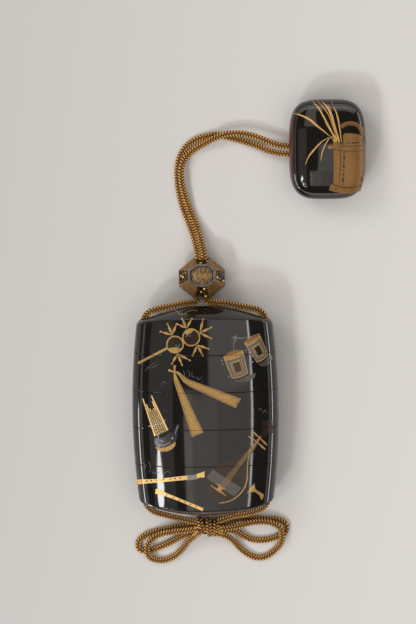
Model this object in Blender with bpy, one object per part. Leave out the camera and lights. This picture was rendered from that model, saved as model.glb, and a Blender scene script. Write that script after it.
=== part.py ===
"""An inro: nested lacquer cases strung on one silk cord, with its sliding bead and its toggle.

Metres, +Z up. The stack of cases lies on its back on the plane z = 0, its lid towards +Y.
The origin is the middle of the small flat that is levelled on its back.
"""

import math

import bmesh
import bpy
from mathutils import Vector

# Outer sizes of the stacked cases, measured across the stack
CASE_WIDTH = 0.0575
CASE_DEPTH = 0.0240
END_WIDTH = 0.0524
END_DEPTH = 0.0222
CASE_SQUARENESS = 2.35
BACK_FLAT = 0.00025

# Heights along the stack, from the base's rim to the lid's rim
BASE_HEIGHT = 0.0182
CASE_HEIGHT = 0.0146
LID_HEIGHT = 0.0141
CASE_NAMES = ("case_lower", "case_middle", "case_upper")

# The domed ends: how far they rise over the rim, and how the rim sinks towards the sides
LID_DOME = 0.0037
BASE_DOME = 0.0032
LID_RIM_DROP = 0.0024
LID_RIM_POWER = 4.0
BASE_RIM_DROP = 0.0024
BASE_RIM_POWER = 2.6
LID_EDGE_RADIUS = 0.0006
BASE_EDGE_RADIUS = 0.0015
CORNER_RADIUS = 0.0025
CORNER_POWER = 6

# Inside: each riser stands in the recess of the piece above it
OUTER_WALL = 0.0015
RISER_FIT = 0.0003
RISER_WALL = 0.0009
RISER_HEIGHT = 0.0040
RISER_TOP_GAP = 0.0003
SEAM_GAP = 0.0003
FLOOR = 0.0018
BASE_FLOOR = 0.0030
LID_ROOF = 0.0030
LID_ROOF_RISE = 0.0020
LID_ROOF_SHOULDER = 0.6
HOLLOW_SQUARENESS = 2.5

# The cord's channels down both sides of the stack
CHANNEL_X = 0.0240
CHANNEL_RADIUS = 0.0017
CHANNEL_WALL = 0.0012
MOUTH_DEPTH = 0.0045
MOUTH_WIDENING = 0.00075

# The silk cord and the clearance of its close holes
CORD_RADIUS = 0.0010
CORD_FIT = 0.0003
CORD_LONGEST_STEP = 0.0062
CORD_STRAIGHT_STEP = 0.0160
CORD_TURN = math.radians(24.0)

# The sliding bead: an eight-sided double taper with a flat band round its middle
BEAD_CENTRE = Vector((-0.00075, 0.05205, 0.0070))
BEAD_WIDTH = 0.0181
BEAD_LENGTH = 0.0160
BEAD_THICKNESS = 0.0140
BEAD_BAND = 0.0030
BEAD_SIDE = 0.0060
BEAD_FACE_WIDTH = 0.0104
BEAD_FACE_LENGTH = 0.0087
BEAD_FACE_SIDE = 0.0042
BEAD_HOLE_WIDTH = 0.0054
BEAD_HOLE_HEIGHT = 0.0030
BEAD_HOLE_OVER = 0.0006
BEAD_FLARE_DEPTH = 0.0018
BEAD_FLARE_WIDENING = 0.0009
BEAD_HOLE_SQUARENESS = 2.6

# The toggle: a thick rounded box, drilled by one curved tunnel for the cord
NETSUKE_CENTRE = Vector((0.04835, 0.1020, 0.0085))
NETSUKE_WIDTH = 0.0297
NETSUKE_LENGTH = 0.0387
NETSUKE_THICKNESS = 0.0170
NETSUKE_BACK_FLAT = 0.0002
NETSUKE_PLAN_SQUARENESS = 3.7
NETSUKE_SIDE_SQUARENESS = 3.0

# The knot of the bow
KNOT_CENTRE = Vector((0.0006, -0.0484, 0.0041))
KNOT_LENGTH = 0.0088
KNOT_WIDTH = 0.0076
KNOT_THICKNESS = 0.0066
KNOT_WRAPS = 3
KNOT_WAIST = 0.84
KNOT_SQUARENESS = 2.3
KNOT_FULLNESS = 0.6

# Fineness of the facets
RING_POINTS = 44
EDGE_STEPS = 3
DOME_STEPS = 3
BORE_POINTS = 12
BEAD_HOLE_POINTS = 16
NETSUKE_POINTS = 32
NETSUKE_STEPS = 9
KNOT_POINTS = 14
KNOT_STEPS_PER_WRAP = 4

MM = 0.001

# The squareness of a plain round
ROUND = 2.0

# Worked-out places
STACK_HEIGHT = BASE_HEIGHT + len(CASE_NAMES) * CASE_HEIGHT + LID_HEIGHT
RIM_Y = STACK_HEIGHT / 2
AXIS_Z = CASE_DEPTH / 2 - BACK_FLAT
RECESS_DEPTH = RISER_HEIGHT + RISER_TOP_GAP
RECESS_HALF_WIDTH = CHANNEL_X - CHANNEL_RADIUS - CHANNEL_WALL
SEAMS = [BASE_HEIGHT - RIM_Y + i * CASE_HEIGHT for i in range(len(CASE_NAMES) + 1)]

# The cord's route in millimetres, from the bow up one side, round through the toggle and back
CORD_ROUTE = (
    (-4.4, -46.1, 5.2), (-9.9, -44.5, 6.6), (-16.6, -42.3, 8.6), (-22.0, -39.7, 10.6),
    (-23.8, -37.2, 11.6), (-24.0, -34.5, 11.75), (-24.0, -30.0, 11.75), (-24.0, 28.0, 11.75),
    (-24.0, 33.0, 11.75), (-23.9, 35.7, 11.8), (-23.1, 38.0, 11.9), (-21.4, 39.7, 11.9),
    (-18.7, 40.6, 11.9), (-14.1, 41.6, 11.7), (-8.8, 42.5, 10.4), (-5.2, 42.75, 8.6),
    (-2.9, 43.1, 7.4), (-2.0, 44.9, 7.0), (-2.0, 47.0, 7.0), (-2.0, 57.0, 7.0),
    (-2.2, 60.3, 6.8), (-3.4, 66.5, 4.0), (-5.2, 72.2, 2.0), (-7.1, 77.0, 1.15),
    (-8.8, 82.8, 1.1), (-9.8, 90.0, 1.1), (-9.7, 95.4, 1.1), (-8.6, 99.6, 1.1),
    (-6.6, 102.8, 1.1), (-2.7, 105.7, 1.1), (2.0, 107.2, 1.1), (6.1, 107.7, 1.1),
    (9.3, 106.9, 1.1), (15.8, 105.1, 1.3), (20.6, 103.5, 2.2), (25.4, 101.5, 3.4),
    (29.6, 100.5, 4.4), (33.1, 100.2, 5.0), (36.8, 99.8, 5.1), (40.6, 98.3, 5.3),
    (44.6, 97.4, 5.5), (48.4, 98.7, 5.5), (49.9, 101.8, 5.5), (48.4, 104.9, 5.5),
    (44.6, 106.2, 5.5), (40.6, 105.2, 5.3), (36.8, 103.7, 5.1), (33.1, 103.2, 5.0),
    (28.6, 103.9, 4.9), (23.8, 105.8, 4.8), (19.0, 107.5, 4.6), (14.2, 108.3, 4.4),
    (9.3, 108.0, 4.1), (6.1, 107.0, 3.7), (2.9, 105.5, 3.1), (-0.6, 103.6, 2.0),
    (-4.2, 101.3, 1.7), (-6.8, 98.7, 2.6), (-8.0, 95.8, 3.4), (-8.2, 89.5, 3.3),
    (-6.6, 82.7, 2.4), (-4.7, 77.2, 1.5), (-2.7, 72.4, 2.1), (-1.0, 66.6, 4.1),
    (0.3, 60.3, 6.8), (0.5, 57.0, 7.0), (0.5, 47.0, 7.0), (0.5, 44.9, 7.0),
    (1.4, 43.1, 7.4), (3.8, 42.75, 8.6), (8.0, 42.6, 10.4), (14.1, 41.6, 11.7),
    (18.7, 40.6, 11.9), (21.4, 39.7, 11.9), (23.1, 38.0, 11.9), (23.9, 35.7, 11.8),
    (24.0, 33.0, 11.75), (24.0, 28.0, 11.75), (24.0, -30.0, 11.75), (24.0, -34.5, 11.75),
    (23.8, -37.2, 11.6), (22.2, -39.3, 10.6), (17.8, -41.7, 8.6), (11.0, -43.4, 6.6),
    (5.6, -45.5, 5.2),
)

# The bow's four loops in millimetres, each from the knot out and back
BOW_LOOPS = {
    "bow_loop_left_front": (
        (-4.4, -48.9, 5.7), (-9.8, -49.8, 4.9), (-14.0, -50.3, 4.3), (-18.2, -51.2, 3.8),
        (-21.6, -52.9, 3.7), (-23.6, -55.3, 3.7), (-24.1, -58.0, 3.7), (-23.6, -60.1, 3.2),
        (-21.8, -62.1, 1.7), (-19.4, -62.8, 1.1), (-16.7, -62.6, 1.1), (-12.9, -60.9, 1.3), (-9.9, -57.7, 2.3),
        (-7.3, -54.0, 4.0), (-4.4, -51.3, 5.7)),
    "bow_loop_left_back": (
        (-4.4, -47.9, 2.9), (-9.8, -48.7, 1.9), (-16.1, -49.8, 1.2), (-21.2, -51.0, 1.1),
        (-25.3, -52.7, 1.1), (-27.5, -54.9, 1.1), (-27.4, -57.7, 1.1), (-24.8, -58.9, 1.1),
        (-21.8, -58.3, 1.1), (-18.3, -57.0, 1.1), (-14.1, -55.0, 1.3), (-9.8, -52.6, 1.9),
        (-4.4, -50.3, 2.9)),
    "bow_loop_right_front": (
        (5.6, -48.9, 5.7), (9.2, -48.7, 5.2), (13.4, -47.9, 4.6), (17.6, -47.0, 4.0),
        (21.8, -46.7, 3.7), (26.0, -47.4, 3.6), (29.1, -49.4, 3.6), (30.0, -52.3, 3.6),
        (29.9, -54.2, 3.4), (29.3, -56.2, 2.3), (27.3, -58.9, 1.3), (23.9, -61.5, 1.1), (20.5, -62.2, 1.1),
        (16.7, -60.9, 1.1), (13.3, -58.2, 1.5), (10.8, -54.9, 2.8), (8.3, -52.5, 4.4),
        (5.6, -51.3, 5.7)),
    "bow_loop_right_back": (
        (5.6, -47.6, 2.9), (9.2, -46.6, 2.2), (13.4, -46.0, 1.5), (19.8, -46.0, 1.1),
        (24.6, -46.4, 1.1), (29.2, -46.9, 1.1), (31.7, -48.9, 1.1), (31.2, -51.8, 1.1),
        (27.8, -53.7, 1.1), (21.8, -55.0, 1.1), (17.6, -54.5, 1.1), (14.6, -53.0, 1.3),
        (11.6, -51.0, 2.0), (8.6, -50.1, 2.6), (5.6, -50.0, 2.9)),
}


def clear_scene():
    for old in list(bpy.data.objects):
        bpy.data.objects.remove(old, do_unlink=True)


def plain_material(name, colour, roughness, metallic):
    material = bpy.data.materials.new(name)
    material.use_nodes = True
    shader = material.node_tree.nodes["Principled BSDF"]
    shader.inputs["Base Color"].default_value = (*colour, 1.0)
    shader.inputs["Roughness"].default_value = roughness
    shader.inputs["Metallic"].default_value = metallic
    return material


def add_object(name, mesh, material, smooth_angle=None):
    obj = bpy.data.objects.new(name, mesh)
    bpy.context.scene.collection.objects.link(obj)
    obj.data.materials.append(material)
    if smooth_angle is not None:
        mesh.shade_smooth()
        mesh.set_sharp_from_angle(angle=smooth_angle)
    return obj


def signed_power(value, power):
    return math.copysign(abs(value) ** power, value)


def section(half_width, half_depth, squareness, count=RING_POINTS):
    """Points (x, z) round a squared ellipse."""
    points = []
    for i in range(count):
        angle = 2 * math.pi * i / count
        x = half_width * signed_power(math.cos(angle), 2 / squareness)
        z = half_depth * signed_power(math.sin(angle), 2 / squareness)
        points.append((x, z))
    return points


def half_width_at(y):
    return CASE_WIDTH / 2 - (CASE_WIDTH - END_WIDTH) / 2 * (y / RIM_Y) ** 2


def half_depth_at(y):
    return CASE_DEPTH / 2 - (CASE_DEPTH - END_DEPTH) / 2 * (y / RIM_Y) ** 2


def outer_point(y, index, inset=0.0):
    """One point of the outer wall at height y, moved in square to the wall by inset."""
    points = section(half_width_at(y), half_depth_at(y), CASE_SQUARENESS)
    x, z = points[index]
    if inset:
        ahead = points[(index + 1) % RING_POINTS]
        behind = points[index - 1]
        along = Vector((ahead[0] - behind[0], ahead[1] - behind[1])).normalized()
        x -= along.y * inset
        z += along.x * inset
    return Vector((x, y, max(AXIS_Z + z, 0.0)))


def outer_ring(y):
    return [outer_point(y, i) for i in range(RING_POINTS)]


def hollow_ring(half_width, half_depth, y):
    return [Vector((x, y, AXIS_Z + z)) for x, z in section(half_width, half_depth, HOLLOW_SQUARENESS)]


def recess_size(seam):
    return RECESS_HALF_WIDTH, half_depth_at(seam) - OUTER_WALL


def riser_size(seam):
    width, depth = recess_size(seam)
    return width - RISER_FIT, depth - RISER_FIT


def pocket_size(seam):
    width, depth = riser_size(seam)
    return width - RISER_WALL, depth - RISER_WALL


def domed_end(wall_from, sign, dome, rim_drop, rim_power, edge_radius):
    """Rings from wall_from over the rim to the middle of a domed end; sign is +1 for the lid."""
    starts, edges, radii = [], [], []
    for i in range(RING_POINTS):
        rim_point = outer_point(sign * RIM_Y, i)
        share = abs(rim_point.x) / (END_WIDTH / 2)
        rim = RIM_Y - rim_drop * share ** rim_power
        radius = edge_radius + (CORNER_RADIUS - edge_radius) * share ** CORNER_POWER
        reach = math.hypot(rim_point.x, rim_point.z - AXIS_Z)
        slope = math.atan(2 * (RIM_Y + dome - rim) / reach)
        turn = math.pi / 2 - slope
        starts.append(rim - radius * math.tan(turn / 2))
        edges.append(turn)
        radii.append(radius)
    rings = []
    for share in (0.5, 1.0):
        rings.append([outer_point(wall_from + share * (sign * starts[i] - wall_from), i)
                      for i in range(RING_POINTS)])
    for step in range(1, EDGE_STEPS + 1):
        ring = []
        for i in range(RING_POINTS):
            turn = edges[i] * step / EDGE_STEPS
            point = outer_point(sign * starts[i], i, inset=radii[i] * (1 - math.cos(turn)))
            point.y = sign * (starts[i] + radii[i] * math.sin(turn))
            ring.append(point)
        rings.append(ring)
    lip = rings[-1]
    top = RIM_Y + dome
    for step in range(DOME_STEPS, 0, -1):
        share = step / (DOME_STEPS + 1)
        ring = []
        for point in lip:
            rise = top - abs(point.y)
            ring.append(Vector((point.x * share, sign * (top - rise * share ** 2),
                                AXIS_Z + (point.z - AXIS_Z) * share)))
        rings.append(ring)
    rings.append([Vector((0.0, sign * top, AXIS_Z))])
    return rings


def riser_rings(seam, height):
    """From the piece's top face up the riser, over it and down inside to height."""
    top = seam - SEAM_GAP / 2
    return [
        hollow_ring(*riser_size(seam), top),
        hollow_ring(*riser_size(seam), top + RISER_HEIGHT),
        hollow_ring(*pocket_size(seam), top + RISER_HEIGHT),
        hollow_ring(*pocket_size(seam), height),
        [Vector((0.0, height, AXIS_Z))],
    ]


def recess_rings(seam):
    """From the recess's inner edge out to the piece's lower face."""
    face = seam + SEAM_GAP / 2
    return [hollow_ring(*recess_size(seam), face + RECESS_DEPTH), hollow_ring(*recess_size(seam), face)]


def loft(rings):
    """A closed mesh through rings of equal count; a ring of one point closes an end."""
    bm = bmesh.new()
    made = [[bm.verts.new(point) for point in ring] for ring in rings]
    for lower, upper in zip(made, made[1:]):
        count = max(len(lower), len(upper))
        for i in range(count):
            j = (i + 1) % count
            if len(lower) == 1:
                bm.faces.new((lower[0], upper[i], upper[j]))
            elif len(upper) == 1:
                bm.faces.new((lower[i], lower[j], upper[0]))
            else:
                bm.faces.new((lower[i], lower[j], upper[j], upper[i]))
    bmesh.ops.recalc_face_normals(bm, faces=bm.faces)
    mesh = bpy.data.meshes.new("shape")
    bm.to_mesh(mesh)
    bm.free()
    return mesh


def add_cutter(name, mesh):
    cutter = bpy.data.objects.new(name, mesh)
    bpy.context.scene.collection.objects.link(cutter)
    cutter.hide_render = True
    cutter.display_type = "WIRE"
    return cutter


def cut(obj, cutter):
    modifier = obj.modifiers.new("cut " + cutter.name, "BOOLEAN")
    modifier.operation = "DIFFERENCE"
    modifier.solver = "EXACT"
    modifier.object = cutter


def channel_cutter(side):
    """The cord's bore through the whole stack, with its mouths widened towards the middle."""
    over = RIM_Y + max(LID_DOME, BASE_DOME)
    mouth = RIM_Y - MOUTH_DEPTH
    levels = ((-over, MOUTH_WIDENING), (-mouth, 0.0), (mouth, 0.0), (over, MOUTH_WIDENING))
    rings = [[Vector((side * CHANNEL_X, -over, AXIS_Z))]]
    for y, wider in levels:
        centre = side * (CHANNEL_X - wider)
        radius = CHANNEL_RADIUS + wider
        rings.append([Vector((centre + x, y, AXIS_Z + z))
                      for x, z in section(radius, radius, ROUND, BORE_POINTS)])
    rings.append([Vector((side * CHANNEL_X, over, AXIS_Z))])
    return add_cutter(f"channel_{'left' if side < 0 else 'right'}", loft(rings))


def make_stack(lacquer):
    """The base, the cases and the lid, each hollow and nested in the next."""
    pieces = []
    base_rings = domed_end(SEAMS[0] - SEAM_GAP / 2, -1, BASE_DOME, BASE_RIM_DROP, BASE_RIM_POWER,
                           BASE_EDGE_RADIUS)
    base_rings.reverse()
    base_rings.append(outer_ring(SEAMS[0] - SEAM_GAP / 2))
    base_rings += riser_rings(SEAMS[0], BASE_FLOOR - RIM_Y)
    pieces.append(add_object("base", loft(base_rings), lacquer, math.radians(35)))

    for name, low, high in zip(CASE_NAMES, SEAMS, SEAMS[1:]):
        face = low + SEAM_GAP / 2
        top = high - SEAM_GAP / 2
        rings = [[Vector((0.0, face + RECESS_DEPTH, AXIS_Z))]]
        rings += recess_rings(low)
        rings += [outer_ring(face), outer_ring((face + top) / 2), outer_ring(top)]
        rings += riser_rings(high, face + RECESS_DEPTH + FLOOR)
        pieces.append(add_object(name, loft(rings), lacquer, math.radians(35)))

    seam = SEAMS[-1]
    face = seam + SEAM_GAP / 2
    roof = RIM_Y - LID_ROOF
    width, depth = pocket_size(seam)
    lid_rings = [
        [Vector((0.0, roof + LID_ROOF_RISE, AXIS_Z))],
        hollow_ring(width * LID_ROOF_SHOULDER, depth * LID_ROOF_SHOULDER,
                    roof + LID_ROOF_RISE * (1 - LID_ROOF_SHOULDER ** 2)),
        hollow_ring(width, depth, roof),
        hollow_ring(width, depth, face + RECESS_DEPTH),
    ]
    lid_rings += recess_rings(seam)
    lid_rings.append(outer_ring(face))
    lid_rings += domed_end(face, 1, LID_DOME, LID_RIM_DROP, LID_RIM_POWER, LID_EDGE_RADIUS)
    pieces.append(add_object("lid", loft(lid_rings), lacquer, math.radians(35)))

    for side in (-1, 1):
        cutter = channel_cutter(side)
        for piece in pieces:
            cut(piece, cutter)


def octagon(width, length, side_x, side_y, z):
    """Eight corners in the plane z, round the bead's middle."""
    x, y = width / 2, length / 2
    sx, sy = side_x / 2, side_y / 2
    corners = ((x, sy), (sx, y), (-sx, y), (-x, sy), (-x, -sy), (-sx, -y), (sx, -y), (x, -sy))
    return [Vector((BEAD_CENTRE.x + cx, BEAD_CENTRE.y + cy, BEAD_CENTRE.z + z)) for cx, cy in corners]


def make_bead(metal):
    levels = (
        (-BEAD_THICKNESS / 2, BEAD_FACE_WIDTH, BEAD_FACE_LENGTH, BEAD_FACE_SIDE),
        (-BEAD_BAND / 2, BEAD_WIDTH, BEAD_LENGTH, BEAD_SIDE),
        (BEAD_BAND / 2, BEAD_WIDTH, BEAD_LENGTH, BEAD_SIDE),
        (BEAD_THICKNESS / 2, BEAD_FACE_WIDTH, BEAD_FACE_LENGTH, BEAD_FACE_SIDE),
    )
    rings = [[BEAD_CENTRE - Vector((0, 0, BEAD_THICKNESS / 2))]]
    for z, width, length, side in levels:
        rings.append(octagon(width, length, side, side, z))
    rings.append([BEAD_CENTRE + Vector((0, 0, BEAD_THICKNESS / 2))])
    bead = add_object("ojime_bead", loft(rings), metal)

    reach = BEAD_LENGTH / 2
    mouth = reach - BEAD_FLARE_DEPTH
    over = reach + BEAD_HOLE_OVER
    levels = ((-over, BEAD_FLARE_WIDENING), (-mouth, 0.0), (mouth, 0.0), (over, BEAD_FLARE_WIDENING))
    rings = [[BEAD_CENTRE + Vector((0, -over, 0))]]
    for y, wider in levels:
        rings.append([BEAD_CENTRE + Vector((x, y, z)) for x, z in section(
            BEAD_HOLE_WIDTH / 2 + wider, BEAD_HOLE_HEIGHT / 2 + wider,
            BEAD_HOLE_SQUARENESS, BEAD_HOLE_POINTS)])
    rings.append([BEAD_CENTRE + Vector((0, over, 0))])
    cut(bead, add_cutter("bead_hole", loft(rings)))


def smooth_curve(route, step=0.0004):
    """Closely spaced points on one smooth curve through the route's points, in metres."""
    points = [Vector(p) * MM for p in route]
    padded = [2 * points[0] - points[1]] + points + [2 * points[-1] - points[-2]]
    curve = [points[0]]
    for before, start, end, after in zip(padded, padded[1:], padded[2:], padded[3:]):
        gaps = [max((b - a).length, 1e-9) for a, b in ((before, start), (start, end), (end, after))]
        leave = ((start - before) / gaps[0] - (end - before) / (gaps[0] + gaps[1])
                 + (end - start) / gaps[1]) * gaps[1]
        arrive = ((end - start) / gaps[1] - (after - start) / (gaps[1] + gaps[2])
                  + (after - end) / gaps[2]) * gaps[1]
        count = max(2, round(gaps[1] / step))
        for i in range(1, count + 1):
            t = i / count
            curve.append((2 * t**3 - 3 * t**2 + 1) * start + (t**3 - 2 * t**2 + t) * leave
                         + (3 * t**2 - 2 * t**3) * end + (t**3 - t**2) * arrive)
    return curve


def cord_points(route):
    """Points along the curve: one for every few diameters of run, or where it has turned enough."""
    curve = smooth_curve(route)
    kept = [curve[0]]
    heading = (curve[1] - curve[0]).normalized()
    run = 0.0
    for before, here, after in zip(curve, curve[1:], curve[2:]):
        run += (here - before).length
        now = (after - here).normalized()
        turned = heading.angle(now)
        limit = CORD_STRAIGHT_STEP if turned < math.radians(1.0) else CORD_LONGEST_STEP
        if run >= limit or turned > CORD_TURN:
            kept.append(here)
            heading = now
            run = 0.0
    if (curve[-1] - kept[-1]).length < CORD_RADIUS:
        kept.pop()
    kept.append(curve[-1])
    return kept


def tube(name, points, radius):
    """A curve object: a round tube with filled ends along points."""
    data = bpy.data.curves.new(name, "CURVE")
    data.dimensions = "3D"
    data.bevel_depth = radius
    data.bevel_resolution = 2
    data.use_fill_caps = True
    spline = data.splines.new("POLY")
    spline.points.add(len(points) - 1)
    for target, point in zip(spline.points, points):
        target.co = (*point, 1.0)
    obj = bpy.data.objects.new(name, data)
    bpy.context.scene.collection.objects.link(obj)
    return obj


def closed_mesh_of(obj):
    """A curve object's tube as one closed mesh, its end caps joined on and its faces outward."""
    depsgraph = bpy.context.evaluated_depsgraph_get()
    mesh = bpy.data.meshes.new_from_object(obj.evaluated_get(depsgraph))
    bm = bmesh.new()
    bm.from_mesh(mesh)
    bmesh.ops.remove_doubles(bm, verts=bm.verts, dist=0.00001)
    bmesh.ops.recalc_face_normals(bm, faces=bm.faces)
    bm.to_mesh(mesh)
    bm.free()
    return mesh


def make_cords(silk):
    cord = tube("cord", cord_points(CORD_ROUTE), CORD_RADIUS)
    cord.data.materials.append(silk)
    for name, route in BOW_LOOPS.items():
        loop = tube(name, cord_points(route), CORD_RADIUS)
        loop.data.materials.append(silk)


def make_knot(silk):
    """Three plump wraps side by side, flat at both ends where the cords run in."""
    steps = KNOT_WRAPS * KNOT_STEPS_PER_WRAP
    rings = []
    for step in range(steps + 1):
        share = step / steps
        swell = KNOT_WAIST + (1 - KNOT_WAIST) * abs(math.sin(math.pi * KNOT_WRAPS * share)) ** KNOT_FULLNESS
        x = (share - 0.5) * KNOT_LENGTH
        rings.append([KNOT_CENTRE + Vector((x, y, z)) for y, z in section(
            KNOT_WIDTH / 2 * swell, KNOT_THICKNESS / 2 * swell, KNOT_SQUARENESS, KNOT_POINTS)])
    half = Vector((KNOT_LENGTH / 2, 0, 0))
    rings = [[KNOT_CENTRE - half]] + rings + [[KNOT_CENTRE + half]]
    add_object("bow_knot", loft(rings), silk, math.radians(50))


def netsuke_rings():
    half = NETSUKE_THICKNESS / 2
    rings = [[Vector((NETSUKE_CENTRE.x, NETSUKE_CENTRE.y, 0.0))]]
    for step in range(NETSUKE_STEPS + 1):
        angle = math.pi * ((step + 0.6) / (NETSUKE_STEPS + 1.2) - 0.5)
        spread = math.cos(angle) ** (2 / NETSUKE_SIDE_SQUARENESS)
        height = (half + NETSUKE_BACK_FLAT) * signed_power(math.sin(angle), 2 / NETSUKE_SIDE_SQUARENESS)
        z = NETSUKE_CENTRE.z + min(height, half)
        plan = section(NETSUKE_WIDTH / 2 * spread, NETSUKE_LENGTH / 2 * spread,
                       NETSUKE_PLAN_SQUARENESS, NETSUKE_POINTS)
        rings.append([Vector((NETSUKE_CENTRE.x + x, NETSUKE_CENTRE.y + y, max(z, 0.0)))
                      for x, y in plan])
    for point in rings[1]:
        point.z = 0.0
    rings.append([NETSUKE_CENTRE + Vector((0, 0, half))])
    return rings


def make_netsuke(lacquer):
    toggle = add_object("netsuke", loft(netsuke_rings()), lacquer, math.radians(40))
    left_side = NETSUKE_CENTRE.x - NETSUKE_WIDTH / 2
    points = cord_points(CORD_ROUTE)
    inside = [i for i, point in enumerate(points) if point.x > left_side]
    bore = tube("tunnel_route", points[inside[0] - 1:inside[-1] + 2], CORD_RADIUS + CORD_FIT)
    cutter = add_cutter("tunnel", closed_mesh_of(bore))
    bpy.data.objects.remove(bore, do_unlink=True)
    cut(toggle, cutter)


def main():
    clear_scene()
    case_lacquer = plain_material("black_lacquer", (0.012, 0.010, 0.009), 0.08, 0.0)
    netsuke_lacquer = plain_material("netsuke_lacquer", (0.016, 0.011, 0.009), 0.10, 0.0)
    bead_metal = plain_material("gilt_metal", (0.42, 0.26, 0.10), 0.30, 1.0)
    silk = plain_material("silk_cord", (0.33, 0.19, 0.065), 0.75, 0.0)
    make_stack(case_lacquer)
    make_bead(bead_metal)
    make_netsuke(netsuke_lacquer)
    make_cords(silk)
    make_knot(silk)


main()
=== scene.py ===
"""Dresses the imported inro: polished lacquer with sprinkled pictures, braided silk, a gilt bead and a toggle.

Metres, +Z up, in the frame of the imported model. The cases lie on their back, the lid towards +Y.
Outlines of the sprinkled pictures are in picture pixels and are laid on the surface along the camera's sight.
"""

import itertools
import math
import random

import bmesh
import bpy
import numpy as np
from mathutils import Matrix, Vector
from mathutils.bvhtree import BVHTree


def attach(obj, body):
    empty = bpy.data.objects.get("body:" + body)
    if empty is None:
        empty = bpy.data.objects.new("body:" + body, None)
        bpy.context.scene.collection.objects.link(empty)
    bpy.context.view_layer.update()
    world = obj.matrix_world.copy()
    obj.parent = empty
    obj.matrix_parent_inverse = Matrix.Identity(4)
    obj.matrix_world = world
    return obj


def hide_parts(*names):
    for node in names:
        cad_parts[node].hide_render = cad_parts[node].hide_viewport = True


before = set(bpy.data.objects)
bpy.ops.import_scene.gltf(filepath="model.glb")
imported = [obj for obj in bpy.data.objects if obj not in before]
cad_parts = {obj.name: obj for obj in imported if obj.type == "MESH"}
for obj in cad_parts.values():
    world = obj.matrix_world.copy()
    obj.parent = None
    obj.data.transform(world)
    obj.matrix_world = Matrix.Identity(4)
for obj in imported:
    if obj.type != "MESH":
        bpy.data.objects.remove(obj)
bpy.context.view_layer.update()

MM = 0.001

# The picture and the camera
PICTURE_MIDDLE = (208.0, 312.0)
PICTURE_HEIGHT = 624
PIXEL = 0.39 * MM
CAMERA_DISTANCE = 0.800
CAMERA_TILT = math.radians(8.0)
CAMERA_ROLL = math.radians(0.7)
CAMERA_TARGET = Vector((1.45, 39.35, 12.0)) * MM
SENSOR = 36.0

# Outer sizes of the stacked cases
CASE_WIDTH = 57.5 * MM
CASE_DEPTH = 24.0 * MM
END_WIDTH = 52.4 * MM
END_DEPTH = 22.2 * MM
SQUARENESS = 2.35
BACK_FLAT = 0.25 * MM
BASE_HEIGHT = 18.2 * MM
CASE_HEIGHT = 14.6 * MM
LID_HEIGHT = 14.1 * MM
CASE_NAMES = ("case_lower", "case_middle", "case_upper")
LID_DOME = 3.7 * MM
BASE_DOME = 3.2 * MM
RIM_DROP = 2.4 * MM
LID_RIM_POWER = 4.0
BASE_RIM_POWER = 2.6
LID_EDGE_RADIUS = 0.6 * MM
BASE_EDGE_RADIUS = 1.5 * MM
CORNER_RADIUS = 2.5 * MM
CORNER_POWER = 6

# Inside the cases
OUTER_WALL = 1.5 * MM
RISER_FIT = 0.3 * MM
RISER_WALL = 0.9 * MM
RISER_HEIGHT = 4.0 * MM
RECESS_DEPTH = 4.3 * MM
FLOOR = 1.8 * MM
BASE_FLOOR = 3.0 * MM
LID_ROOF = 3.0 * MM
LID_ROOF_RISE = 2.0 * MM
LID_ROOF_SHOULDER = 0.6
HOLLOW_SQUARENESS = 2.5
SEAM_LINE = 0.13 * MM
LIP = 0.07 * MM
SAME_PLACE = 1e-7

# The cord's channels
CHANNEL_X = 24.0 * MM
CHANNEL_RADIUS = 1.7 * MM
CHANNEL_WALL = 1.2 * MM
MOUTH_DEPTH = 4.5 * MM
MOUTH_WIDENING = 0.75 * MM
CHANNEL_AROUND = 40

# The bead
BEAD_CENTRE = Vector((-0.75, 52.05, 7.0)) * MM
BEAD_SIZE = Vector((18.1, 16.0, 12.0)) * MM
BEAD_TILT = math.radians(17.5)
BEAD_BAND = 3.0 * MM
BEAD_SIDE = 6.0 * MM
BEAD_FACE = Vector((10.4, 8.7, 0.0)) * MM
BEAD_FACE_SIDE = 4.2 * MM
BEAD_HOLE_WIDTH = 5.4 * MM
BEAD_HOLE_HEIGHT = 3.0 * MM
BEAD_HOLE_SQUARENESS = 2.6
BEAD_MOUTH = 0.9 * MM
BEAD_MOUTH_DEPTH = 1.8 * MM
BEAD_BEVEL = 0.1 * MM
FACET_FRAME = 0.28 * MM
FACET_DEPTH = 0.1 * MM
FACE_FRAME = 0.7 * MM
FACE_DEPTH = 0.35 * MM
MEDALLION_HALF = (3.95 * MM, 3.15 * MM, 0.36 * MM)
MEDALLION_SINK = 0.4 * MM
EDGE_HEIGHT = 6.0 * MM
EDGE_RISE = 0.1 * MM
SPECK_SINK = 0.08 * MM

# The toggle
NETSUKE_CENTRE = Vector((48.35, 102.0, 8.5)) * MM
NETSUKE_HALF = Vector((14.85, 19.35, 8.5)) * MM
NETSUKE_BACK_FLAT = 0.2 * MM
NETSUKE_PLAN_SQUARENESS = 3.7
NETSUKE_SIDE_SQUARENESS = 3.0
NETSUKE_CUTS = 47
TUNNEL_ROOM = 0.15 * MM
TUNNEL_HEADROOM = 0.25 * MM
NETSUKE_WORN_EDGE = (33.7 * MM, 35.6 * MM, (0.10, 0.022, 0.008))

# The knot; each of its turns has an offset, a half width, a half height, a lean and a drop, in millimetres
KNOT_CENTRE = Vector((0.6, -48.4, 4.1)) * MM
KNOT_TURNS = ((-2.75, 2.75, 2.35, -1.0, 0.75), (0.25, 3.0, 2.45, -0.25, -0.15), (3.0, 2.8, 2.3, 0.15, -0.3))
CORE_HALF = Vector((3.612, 3.01, 2.58)) * MM
KNOT_POWER = 3
WRAP_POINTS = 90
WRAP_SQUARENESS = 2 / 0.85
TAIL_REACH = (-0.6 * MM, 3.0 * MM)

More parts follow.
